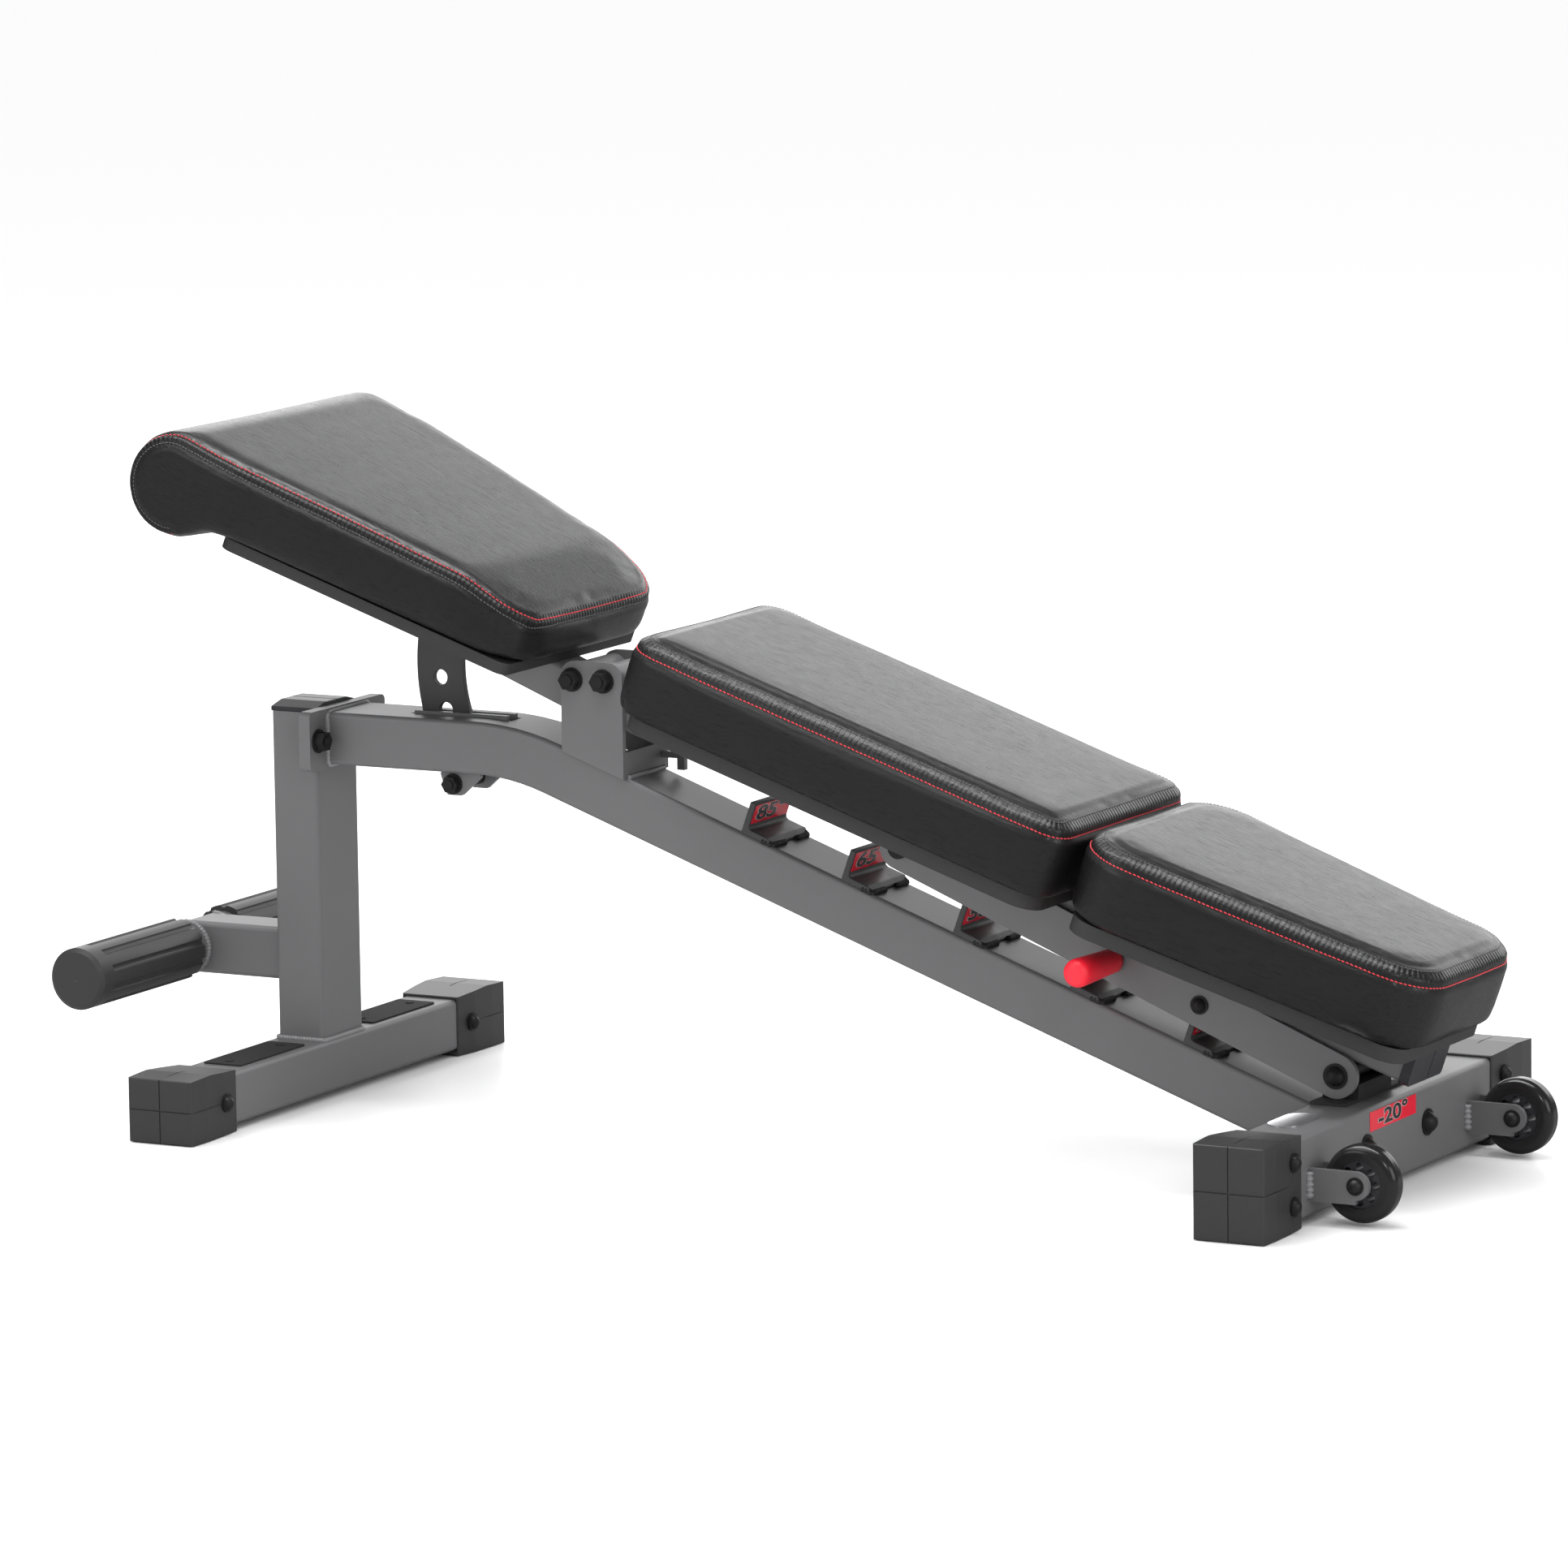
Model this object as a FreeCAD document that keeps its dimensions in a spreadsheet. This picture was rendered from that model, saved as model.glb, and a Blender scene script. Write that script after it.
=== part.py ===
import FreeCAD, Part
import math
import os
import re

import Sketcher
from FreeCAD import Vector

# Adjustable sit-up bench, millimetres, +Z up.  +X points from the foothold to the wheels, the bench is
# symmetrical about the XZ plane, and the origin is on the floor in the middle of the bench's length.
# "right" is the -Y side and "left" the +Y side.

DIMENSIONS = {
    # floor frame
    "post_x": -530.5, "rear_x": 581.9, "foot_gap": 5.5, "base_width": 60.0, "base_span": 578.0,
    "front_base_height": 50.8, "rear_base_height": 76.2, "tube_wall": 3.0, "tube_round": 5.0,
    "post_depth": 50.8, "post_width": 76.2, "post_height": 320.0, "post_cap_height": 9.0,
    "foot_length": 88.0, "foot_end": 8.0, "foot_side": 5.5, "foot_top": 6.5, "foot_taper": 4.0,
    "foot_groove": 1.2, "foot_bolt_inset": 64.0, "foot_bolt_radius": 7.0,
    "tread_length": 120.0, "tread_width": 42.0, "tread_thick": 1.6, "tread_inset": 64.0,
    # foothold
    "hold_x": -664.0, "hold_z": 136.5, "hold_radius": 24.0, "hold_tube": 50.8, "hold_span": 448.0,
    "grip_radius": 30.0, "grip_start": 42.0, "grip_end": 229.0, "grip_groove": 2.2, "grip_land": 22.0,
    # main beam
    "beam_width": 76.2, "beam_depth": 50.8, "beam_z": 352.6, "beam_start": -493.1, "bend_x": -290.5,
    "bend_radius": 250.0, "slope": 20.0, "slot_start": -416.0, "slot_end": -306.0, "slot_width": 22.0,
    "flange_thick": 6.0, "flange_width": 142.0, "flange_height": 58.0, "flange_bolt_y": 56.0,
    "rear_bolt_y": 67.0, "rear_bolt_z": 47.0, "rear_flange_width": 168.0, "rear_flange_height": 50.0,
    # tower and pivots
    "tower_x": -231.5, "tower_length": 66.0, "plate_thick": 6.0, "tower_top": 443.6, "tower_low": 357.0,
    "seat_pivot_x": -219.3, "back_pivot_x": -185.9, "pivot_z": 426.0, "pivot_pin": 6.0, "pin_play": 0.05,
    "sleeve_radius": 14.5, "sleeve_length": 75.4, "nut_radius": 11.5, "brace_height": 22.0,
    "brace_thick": 6.0, "brace_gap": 2.4, "hook_reach": 23.0, "hook_lip": 8.0, "hook_height": 12.0, 
    "tower_round": 14.0,
    # catches on the beam
    "catch_width": 75.5, "catch_height": 32.0, "catch_thick": 6.0, "catch_foot": 33.0, "label_thick": 0.4,
    "label_side": 2.5, "label_low": 5.0, "label_high": 2.0, "decline_y": -60.0, "decline_length": 101.0,
    "decline_height": 18.0, "rest_length": 36.0, "rest_width": 128.0, "rest_thick": 3.0, "rest_block": 72.0,
    "rest_height": 13.0, "rest_inset": 28.0, "badge_width": 32.0, "badge_length": 66.0, "badge_thick": 1.2,
    "badge_y": -140.0, "badge_inset": 9.0,
    # backrest, in the frame of its pivot: along is down the slope, up is square to it
    "back_slope": 19.0, "back_tube_start": 9.0, "back_tube_end": 876.0, "back_tube_width": 75.0,
    "back_tube_depth": 32.0, "back_tube_low": -39.3, "board_thick": 12.0,
    "back_board_thick": 15.0, "board_inset": 14.0,
    "end_cap_length": 10.0, "end_cap_groove": 1.4,
    "mid_start": 52.0, "heel_length": 60.0, "mid_end": 534.0, "mid_width": 280.0,
    "pad_thick": 79.0, "pad_corner": 26.0,
    "head_start": 538.5, "head_end": 905.0, "head_wide": 290.0, "head_narrow": 222.0,
    # strut
    "strut_along": 341.5, "strut_up": -28.6, "strut_slope": 22.28, "strut_length": 479.5,
    "strut_width": 42.0, "strut_thick": 6.0, "strut_inner": 39.5, "strut_spacer": 332.0, "foot_pin": 8.0,
    "handle_along": 238.0, "handle_radius": 13.5, "handle_length": 82.0,
    # seat
    "seat_slope": 22.0, "seat_tube_start": -322.0, "seat_tube_end": -10.0, "seat_tube_low": -37.0,
    "seat_tube_width": 50.8, "seat_tube_depth": 38.0, "seat_board": 1.5, "roll_along": -396.0,
    "roll_up": 39.0, "roll_radius": 51.0, "roll_half": 190.0, "seat_half": 138.0, "seat_end": -16.0,
    "arc_radius": 168.0, "arc_half": 25.0, "arc_thick": 6.0, "arc_hole": 7.5,
    "arc_bottom": 31.0, "pin_angle": 26.0, "hole_pitch": 10.85,
    "board_start": -336.0, "board_end": -30.0, "board_front_half": 172.0, "board_rear_half": 128.0,
    "seat_pad_low": 13.5, "seat_end_height": 61.0, "crease_along": -90.0, "crease_up": 80.5, "shoulder": 60.0,
    "seat_corner_along": 14.0, "seat_corner_across": 30.0,
    # wheels
    "wheel_x": 658.0, "wheel_z": 38.0, "wheel_radius": 36.0, "wheel_width": 24.0, "wheel_y": 174.0,
    "hub_radius": 22.0, "axle_radius": 4.0, "fork_thick": 5.0, "fork_gap": 27.0, "fork_height": 30.0,
    # seat lock
    "lock_radius": 7.0, "knob_radius": 13.0, "housing_length": 22.0,
}

# Distance of each catch along the beam's slope from its bend, by the backrest angle it gives.
CATCHES = {"85": 253.0, "65": 365.0, "50": 489.0, "35": 617.0, "20": 740.0}
GRIP_GROOVES = 10
ARC_HOLES = 3
HUB_SPOKES = 8

NODES = []

doc = FreeCAD.newDocument("bench")
sheet = doc.addObject("Spreadsheet::Sheet", "Dimensions")
for row, (alias, value) in enumerate(DIMENSIONS.items(), start=1):
    sheet.set(f"A{row}", alias)
    sheet.set(f"B{row}", str(value))
    sheet.setAlias(f"B{row}", alias)
doc.recompute()


def cells(text):
    """An expression with every dimension's name pointed at its spreadsheet cell."""
    return re.sub(r"[a-z_]+[a-z]", lambda word: f"Dimensions.{word[0]}" if word[0] in DIMENSIONS else word[0],
                  str(text))


def bind(item, **sizes):
    for name, text in sizes.items():
        item.setExpression(name, cells(text))
    return item


# The frames that sloping pieces are drawn in: origin x, origin z and slope below +X.
FRAMES = {
    "floor": ("0", "0", "0"),
    "back": ("back_pivot_x", "pivot_z", "back_slope"),
    "seat": ("seat_pivot_x", "pivot_z", "seat_slope"),
    "ramp": ("bend_x", "beam_z", "slope"),
    "strut": ("back_pivot_x + strut_along * cos(back_slope) + strut_up * sin(back_slope)",
              "pivot_z - strut_along * sin(back_slope) + strut_up * cos(back_slope)", "strut_slope"),
}
# Turns that carry a local +Z axis to the named direction.
TURNS = {
    "Z": "rotation(vector(0; 0; 1); 0)",
    "Y": "rotation(vector(1; 0; 0); -90)",
    "X": "rotation(vector(1; 1; 1); 120)",
    "-X": "rotation(vector(0; 1; 0); -90)",
    "-Y": "rotation(vector(1; 0; 0); 90)",
}


def place(item, frame, x, y, z, turn="Z"):
    """Bind the placement: x, y and z are expressions in the named frame."""
    fx, fz, angle = FRAMES[frame]
    world_x = f"({fx}) + ({x}) * cos({angle}) + ({z}) * sin({angle})"
    world_z = f"({fz}) - ({x}) * sin({angle}) + ({z}) * cos({angle})"
    text = (f"placement(vector({world_x}; {y}; {world_z}); "
            f"rotation(vector(0; 1; 0); {angle}) * {TURNS[turn]})")
    item.setExpression("Placement", cells(text))
    return item


def node(item, label):
    item.Label = label
    NODES.append(item)
    return item


def box(frame, x, y, z, length, width, height):
    """A box from its low corner in the named frame."""
    item = doc.addObject("Part::Box", "Block")
    bind(item, Length=length, Width=width, Height=height)
    return place(item, frame, x, y, z)


def rod(frame, x, y, z, radius, length, turn="Y"):
    """A round bar that starts at the point and runs along the turned axis."""
    item = doc.addObject("Part::Cylinder", "Rod")
    bind(item, Radius=radius, Height=length)
    return place(item, frame, x, y, z, turn)


def fuse(*items):
    item = doc.addObject("Part::MultiFuse", "Union")
    item.Shapes = list(items)
    return item


def group(*items):
    item = doc.addObject("Part::Compound", "Set")
    item.Links = list(items)
    return item


def cut(base, *tools):
    item = doc.addObject("Part::Cut", "Difference")
    item.Base = base
    item.Tool = tools[0] if len(tools) == 1 else fuse(*tools)
    return item


def common(first, second):
    item = doc.addObject("Part::Common", "Overlap")
    item.Base = first
    item.Tool = second
    return item


def plane_sketch(body, role):
    sketch = body.newObject("Sketcher::SketchObject", "Sketch")
    plane = next(part for part in body.Origin.OriginFeatures if part.Role == role)
    sketch.AttachmentSupport = [(plane, "")]
    sketch.MapMode = "FlatFace"
    return sketch


def polygon(sketch, points):
    """A closed outline whose corners are held at expressions for their two coordinates."""
    count = len(points)
    values = [tuple(float(sheet_value(part)) for part in point) for point in points]
    for index in range(count):
        start = Vector(*values[index], 0)
        end = Vector(*values[(index + 1) % count], 0)
        sketch.addGeometry(Part.LineSegment(start, end), False)
    for index in range(count):
        sketch.addConstraint(Sketcher.Constraint("Coincident", index, 2, (index + 1) % count, 1))
    for index, point in enumerate(points):
        for kind, text, value in zip(("DistanceX", "DistanceY"), point, values[index]):
            number = sketch.addConstraint(Sketcher.Constraint(kind, -1, 1, index, 1, value))
            sketch.setExpression(f"Constraints[{number}]", cells(text))


def sheet_value(text):
    """The number that an expression gives with the spreadsheet's values."""
    probe = doc.addObject("App::FeaturePython", "Probe")
    probe.addProperty("App::PropertyFloat", "Value")
    probe.setExpression("Value", cells(text))
    probe.recompute()
    value = probe.Value
    doc.removeObject(probe.Name)
    return value


def rounded(body, feature, radius, direction):
    """Round the edges of a body's solid that run along a direction."""
    doc.recompute()
    names = []
    for number, edge in enumerate(feature.Shape.Edges, start=1):
        if edge.Curve.TypeId != "Part::GeomLine":
            continue
        if abs(edge.tangentAt(edge.FirstParameter).dot(direction)) > 0.999:
            names.append(f"Edge{number}")
    fillet = body.newObject("PartDesign::Fillet", "Fillet")
    fillet.Base = (feature, names)
    fillet.setExpression("Radius", cells(radius))
    body.Tip = fillet
    return fillet


def plate(points, thickness, frame="floor", x="0", y="0", z="0", turn="Z", radius=None):
    """A flat piece drawn in its own XY plane and padded along its own +Z."""
    body = doc.addObject("PartDesign::Body", "Body")
    sketch = plane_sketch(body, "XY_Plane")
    polygon(sketch, points)
    pad = body.newObject("PartDesign::Pad", "Pad")
    pad.Profile = sketch
    bind(pad, Length=thickness)
    if radius:
        rounded(body, pad, radius, Vector(0, 0, 1))
    return place(body, frame, x, y, z, turn)


def rectangle(width, height):
    return [(f"-({width}) / 2", f"-({height}) / 2"), (f"({width}) / 2", f"-({height}) / 2"),
            (f"({width}) / 2", f"({height}) / 2"), (f"-({width}) / 2", f"({height}) / 2")]


def square_tube(width, height, length, frame, x, y, z, turn):
    """A rectangular tube with round corners, from the middle of its first end."""
    outer = plate(rectangle(width, height), length, frame, x, y, z, turn, "tube_round")
    inner = plate(rectangle(f"{width} - 2 * tube_wall", f"{height} - 2 * tube_wall"), length,
                  frame, x, y, z, turn, "tube_round - tube_wall")
    return cut(outer, inner)


def bolt(frame, x, y, z, radius, side, reach="6"):
    """A button head with a washer: the head stands out on the side that the turn names."""
    washer = rod(frame, x, y, z, f"{radius} * 1.25", "1.6", side)
    head = doc.addObject("Part::Sphere", "Head")
    bind(head, Radius=radius, Angle1="0")
    place(head, frame, x, y, z, side)
    shank = rod(frame, x, y, z, f"{radius} * 0.5", reach, OPPOSITE[side])
    return fuse(washer, head, shank)


PIN_X = "seat_pivot_x - arc_radius * cos(pin_angle)"
PIN_Z = "pivot_z - arc_radius * sin(pin_angle)"
GUIDE_X = "slot_start + 55"
GUIDE_Z = "beam_z - beam_depth / 2 - 12"
OPPOSITE = {"Y": "-Y", "-Y": "Y", "X": "-X", "-X": "X"}
SIDES = (("right", -1), ("left", 1))


def floor_frame():
    """The two cross tubes on the floor, the post, its cap and the grip plates to stand on."""
    bases = (("front", "post_x", "front_base_height"), ("rear", "rear_x", "rear_base_height"))
    screws = []
    for name, centre, height in bases:
        middle = f"foot_gap + {height} / 2"
        node(square_tube("base_width", height, "base_span", "floor", centre, "-base_span / 2", middle, "Y"),
             f"{name}_base_tube")
        for side, sign in SIDES:
            node(foot_cap(centre, height, sign), f"foot_cap_{name}_{side}")
            rows = ("0",) if name == "front" else ("-foot_bolt_radius * 2.85", "foot_bolt_radius * 2.85")
            for row in rows:
                screws.append(bolt("floor", f"{centre} + base_width / 2 + foot_side - 0.6",
                                   f"{sign} * (base_span / 2 + foot_end - foot_bolt_inset)",
                                   f"{middle} + {row}", "foot_bolt_radius", "X", "foot_side - 0.6"))
    node(group(*screws), "foot_cap_bolts")
    post_foot = "foot_gap + front_base_height"
    node(square_tube("post_depth", "post_width", "post_height", "floor", "post_x", "0", post_foot, "Z"),
         "front_post")
    crown = plate([("-post_width / 2", "0"), ("post_width / 2", "0"), ("post_width / 2", "post_cap_height / 2"),
                   ("post_width / 4", "post_cap_height"), ("-post_width / 4", "post_cap_height"),
                   ("-post_width / 2", "post_cap_height / 2")], "post_depth", "floor",
                  "post_x - post_depth / 2", "0", f"{post_foot} + post_height", "X")
    groove = box("floor", "post_x - post_depth", "-0.7", f"{post_foot} + post_height + post_cap_height - 1",
                 "2 * post_depth", "1.4", "2")
    node(cut(crown, groove), "post_cap")
    for side, sign in SIDES:
        node(tread_plate(sign, post_foot), f"tread_plate_{side}")


def foot_cap(centre, height, sign):
    """A rubber cap over a base tube's end: wide at the outer face and drawn in towards the tube."""
    outer = "base_span / 2 + foot_end"
    inner = f"{outer} - foot_length"
    half = "base_width / 2 + foot_side"
    plan = plate([(f"-({half} - foot_taper)", inner), (f"{half} - foot_taper", inner),
                  (f"{half} - foot_taper / 4", f"{inner} + foot_length / 3"),
                  (half, f"{inner} + foot_length * 0.7"), (f"{half} - 0.6", outer), (f"-({half} - 0.6)", outer),
                  (f"-({half})", f"{inner} + foot_length * 0.7"),
                  (f"-({half} - foot_taper / 4)", f"{inner} + foot_length / 3")],
                 f"foot_gap + {height} + foot_top", "floor", "0", "0", "0", "Z", "2.5")
    top = f"foot_gap + {height} + foot_top"
    side = plate([(inner, "0"), (outer, "0"), (outer, f"{top} - 1.5"),
                  (f"{inner} + foot_length * 0.6", top), (inner, f"{top} - foot_taper")],
                 "base_width * 2", "floor", "-base_width", "0", "0", "X", "1.4")
    tube = box("floor", "-base_width / 2", f"{inner} - 1", "foot_gap", "base_width", "foot_length + 1 - foot_end",
               height)
    grooves = [box("floor", "-foot_groove / 2", inner, f"{top} - 1.1", "foot_groove", "2 * foot_length", "10"),
               box("floor", "-foot_groove / 2", f"{outer} - 1", "0", "foot_groove", "2", "2 * base_width"),
               box("floor", "-base_width", f"{outer} - 1", f"foot_gap + {height} / 2", "2 * base_width", "2",
                   "foot_groove")]
    for wall in ("1", "-1"):
        grooves.append(box("floor", f"{wall} * ({half} + 4) - 5", inner, f"foot_gap + {height} / 2", "10",
                           "2 * foot_length", "foot_groove"))
    cap = cut(common(plan, side), tube, *grooves)
    turn = "0" if sign > 0 else "180"
    cap.setExpression("Placement", cells(f"placement(vector({centre}; 0; 0); rotation(vector(0; 0; 1); {turn}))"))
    return cap


def tread_plate(sign, level):
    """A gritted plate on the front base, riveted at both ends."""
    middle = f"{sign} * (tread_inset + tread_length / 2)"
    sheet_metal = plate(rectangle("tread_width", "tread_length"), "tread_thick", "floor", "post_x", middle,
                        level, "Z", "3")
    rivets = []
    for end in ("-1", "1"):
        rivets.append(rod("floor", "post_x", f"{middle} + {end} * (tread_length / 2 - 14)",
                          f"{level} + tread_thick / 2", "4", "tread_thick", "Z"))
    return fuse(sheet_metal, *rivets)


def foothold():
    """The ankle hold: a stub tube from the post, a round crossbar and two ribbed rubber grips."""
    stub = square_tube("hold_tube", "hold_tube", "post_x - post_depth / 2 - hold_x", "floor", "hold_x", "0",
                       "hold_z", "X")
    saddle = rod("floor", "hold_x", "-hold_tube", "hold_z", "hold_radius", "2 * hold_tube")
    node(cut(stub, saddle), "foothold_tube")
    bar = rod("floor", "hold_x", "-hold_span / 2", "hold_z", "hold_radius", "hold_span")
    bore = rod("floor", "hold_x", "-hold_span / 2", "hold_z", "hold_radius - tube_wall", "hold_span")
    node(cut(bar, bore), "foothold_crossbar")
    for side, sign in SIDES:
        node(rubber_grip(sign), f"foothold_grip_{side}")


def rubber_grip(sign):
    """A sleeve with a closed domed end and lengthwise grooves between flat lands."""
    body = doc.addObject("PartDesign::Body", "Body")
    sketch = plane_sketch(body, "XZ_Plane")
    polygon(sketch, [("0", "grip_end"), ("0", "hold_span / 2"), ("hold_radius", "hold_span / 2"),
                     ("hold_radius", "grip_start"), ("grip_radius", "grip_start"),
                     ("grip_radius", "grip_end - 5"), ("grip_radius - 4", "grip_end - 1.5")])
    turned = body.newObject("PartDesign::Revolution", "Revolution")
    turned.Profile = sketch
    turned.ReferenceAxis = (sketch, ["V_Axis"])
    turned.Angle = 360
    place(body, "floor", "0", "0", "0", "Z")
    cutters = []
    for index in range(GRIP_GROOVES):
        slot = rod("floor", "0", "0", "grip_start - 1", "grip_groove * 1.9",
                   "grip_end - grip_start - grip_land", "Z")
        angle = 360 / GRIP_GROOVES * (index + 0.5)
        slot.setExpression("Placement", cells(
            f"placement(vector((grip_radius + grip_groove * 0.9) * cos({angle}); "
            f"(grip_radius + grip_groove * 0.9) * sin({angle}); grip_start - 1); "
            f"rotation(vector(0; 0; 1); 0))"))
        cutters.append(slot)
    grip = cut(body, *cutters)
    return place(grip, "floor", "hold_x", "0", "hold_z", "Y" if sign > 0 else "-Y")


def main_beam():
    """The bent beam with its end plates, the slot for the seat's arc and the bolts that hold it."""
    outer = beam_sweep("beam_depth", "beam_width", "tube_round")
    inner = beam_sweep("beam_depth - 2 * tube_wall", "beam_width - 2 * tube_wall", "tube_round - tube_wall")
    slots = [box("floor", "slot_start", "-slot_width / 2", "beam_z + beam_depth / 2 - 10",
                 "slot_end - slot_start", "slot_width", "20"),
             box("floor", "slot_start", "-slot_width / 2", "beam_z - beam_depth / 2 - 10",
                 "slot_end - slot_start + 24", "slot_width", "20")]
    slots.append(rod("floor", PIN_X, "0", PIN_Z, "lock_radius + pin_play", "beam_width"))
    beam = cut(cut(outer, inner), *slots)
    trim = box("floor", "rear_x - base_width / 2 - flange_thick", "-beam_width", "-200", "400",
               "2 * beam_width", "400")
    node(cut(beam, trim), "main_beam")
    front = plate(rectangle("flange_width", "flange_height"), "flange_thick", "floor",
                  "beam_start - flange_thick", "0", "beam_z", "X", "6")
    rear_x = "rear_x - base_width / 2 - flange_thick"
    rear = plate(rectangle("rear_flange_width", "rear_flange_height"), "flange_thick", "floor", rear_x, "0",
                 "rear_bolt_z", "X", "6")
    bores = []
    screws = []
    for side, sign in SIDES:
        bores.append(rod("floor", "beam_start - 30", f"{sign} * flange_bolt_y", "beam_z", "5.1", "60", "X"))
        bores.append(rod("floor", f"{rear_x} - 20", f"{sign} * rear_bolt_y", "rear_bolt_z", "5.1", "40", "X"))
        screws.append(lock_nut("floor", "beam_start", f"{sign} * flange_bolt_y", "beam_z", "X"))
        screws.append(rod("floor", "beam_start", f"{sign} * flange_bolt_y", "beam_z", "5",
                          "2 * flange_thick", "-X"))
        screws.append(bolt("floor", "beam_start - 2 * flange_thick", f"{sign} * flange_bolt_y", "beam_z", "8",
                           "-X", "2"))
        screws.append(bolt("floor", "rear_x + base_width / 2", f"{sign} * rear_bolt_y", "rear_bolt_z", "10",
                           "X", "tube_wall"))
        screws.append(lock_nut("floor", rear_x, f"{sign} * rear_bolt_y", "rear_bolt_z", "-X"))
        screws.append(rod("floor", rear_x, f"{sign} * rear_bolt_y", "rear_bolt_z", "5", "flange_thick", "X"))
    node(cut(group(front, rear), *bores), "beam_flanges")
    post_plate = plate(rectangle("flange_width", "flange_height"), "flange_thick", "floor",
                       "beam_start - 2 * flange_thick", "0", "beam_z", "X", "6")
    holes = [rod("floor", "beam_start - 30", f"{sign} * flange_bolt_y", "beam_z", "5.1", "60", "X")
             for side, sign in SIDES]
    node(cut(post_plate, *holes), "post_flange")
    for side, sign in SIDES:
        outward = "Y" if sign > 0 else "-Y"
        screws.append(lock_nut("floor", GUIDE_X, f"{sign} * 27", GUIDE_Z, outward, "10"))
        screws.append(rod("floor", GUIDE_X, f"{sign} * 27", GUIDE_Z, "4.5", "5", OPPOSITE[outward]))
        screws.append(rod("floor", GUIDE_X, f"{sign} * 22", GUIDE_Z, "7", "18", OPPOSITE[outward]))
    node(group(*screws), "frame_bolts")


def beam_sweep(depth, width, radius):
    """The beam's section carried along two straight runs and the bend between them."""
    body = doc.addObject("PartDesign::Body", "Body")
    path = plane_sketch(body, "XZ_Plane")
    start, bend, level = (sheet_value(text) for text in ("beam_start", "bend_x", "beam_z"))
    reach = sheet_value("bend_radius * tan(slope / 2)")
    angle = math.radians(sheet_value("slope"))
    curve = sheet_value("bend_radius")
    tail = sheet_value("(rear_x - bend_x) / cos(slope)")
    bend_end = Vector(bend + reach * math.cos(angle), level - reach * math.sin(angle), 0)
    end = Vector(bend + tail * math.cos(angle), level - tail * math.sin(angle), 0)
    path.addGeometry(Part.LineSegment(Vector(start, level, 0), Vector(bend - reach, level, 0)), False)
    circle = Part.Circle(Vector(bend - reach, level - curve, 0), Vector(0, 0, 1), curve)
    path.addGeometry(Part.ArcOfCircle(circle, math.pi / 2 - angle, math.pi / 2), False)
    path.addGeometry(Part.LineSegment(bend_end, end), False)
    path.addConstraint([
        Sketcher.Constraint("Tangent", 0, 2, 1, 2), Sketcher.Constraint("Tangent", 1, 1, 2, 1),
        Sketcher.Constraint("Horizontal", 0)])
    for kind, first, point, value, text in (
            ("DistanceX", 0, 1, start, "beam_start"), ("DistanceY", 0, 1, level, "beam_z"),
            ("DistanceX", 2, 2, end.x, "rear_x"),
            ("DistanceY", 2, 2, end.y, "beam_z - (rear_x - bend_x) * tan(slope)")):
        number = path.addConstraint(Sketcher.Constraint(kind, -1, 1, first, point, value))
        path.setExpression(f"Constraints[{number}]", cells(text))
    number = path.addConstraint(Sketcher.Constraint("Radius", 1, curve))
    path.setExpression(f"Constraints[{number}]", cells("bend_radius"))
    section = plane_sketch(body, "YZ_Plane")
    bind_offset(section, "beam_start")
    polygon(section, [(x, f"beam_z + {y}") for x, y in rectangle(width, depth)])
    doc.recompute()
    pipe = body.newObject("PartDesign::AdditivePipe", "Pipe")
    pipe.Profile = section
    pipe.Spine = (path, ["Edge1", "Edge2", "Edge3"])
    pipe.Mode = "Standard"
    doc.recompute()
    names = []
    for number, edge in enumerate(pipe.Shape.Edges, start=1):
        if edge.Length > edge_limit(depth, width):
            names.append(f"Edge{number}")
    fillet = body.newObject("PartDesign::Fillet", "Fillet")
    fillet.Base = (pipe, names)
    fillet.setExpression("Radius", cells(radius))
    body.Tip = fillet
    return body


def edge_limit(depth, width):
    """Longer than every edge of the end faces, shorter than the beam's lengthwise edges."""
    return max(sheet_value(depth), sheet_value(width)) + 1


def bind_offset(sketch, text):
    sketch.setExpression("AttachmentOffset", cells(f"placement(vector(0; 0; {text}); rotation(vector(0; 0; 1); 0))"))


def lock_nut(frame, x, y, z, side, size="nut_radius"):
    """A flanged hexagon nut with the bolt's end showing in it."""
    flange = rod(frame, x, y, z, size, "1.8", side)
    hexagon = doc.addObject("Part::Prism", "Hexagon")
    hexagon.Polygon = 6
    bind(hexagon, Circumradius=f"{size} * 0.85", Height=f"{size} * 0.9")
    place(hexagon, frame, x, y, z, side)
    tip = rod(frame, x, y, z, f"{size} * 0.48", f"{size} * 1.05", side)
    return fuse(flange, hexagon, tip)


def arc_guides():
    """Ears under the beam and liners in its top slot that keep the seat's arc plate central."""
    pieces = []
    for side, sign in SIDES:
        start = "22" if sign > 0 else "-27"
        ear = [("GX - 15", "GZ + 12"), ("GX + 35", "GZ + 12"), ("GX + 9", "GZ - 11"), ("GX - 7", "GZ - 11")]
        corners = [(x.replace("GX", GUIDE_X), y.replace("GZ", GUIDE_Z)) for x, y in ear]
        flat = plate([(x, f"-({y})") for x, y in corners], "5", "floor", "0", start, "0", "Y", "3")
        hole = rod("floor", GUIDE_X, "-40", GUIDE_Z, "4.5", "80")
        pieces.append(cut(flat, hole))
        liner_y = "arc_thick / 2 + 2" if sign > 0 else "-arc_thick / 2 - 7"
        pieces.append(box("floor", "slot_start + 4", liner_y, "beam_z + beam_depth / 2 - 3",
                          "slot_end - slot_start - 8", "5", "6"))
    node(group(*pieces), "arc_guides")


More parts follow.
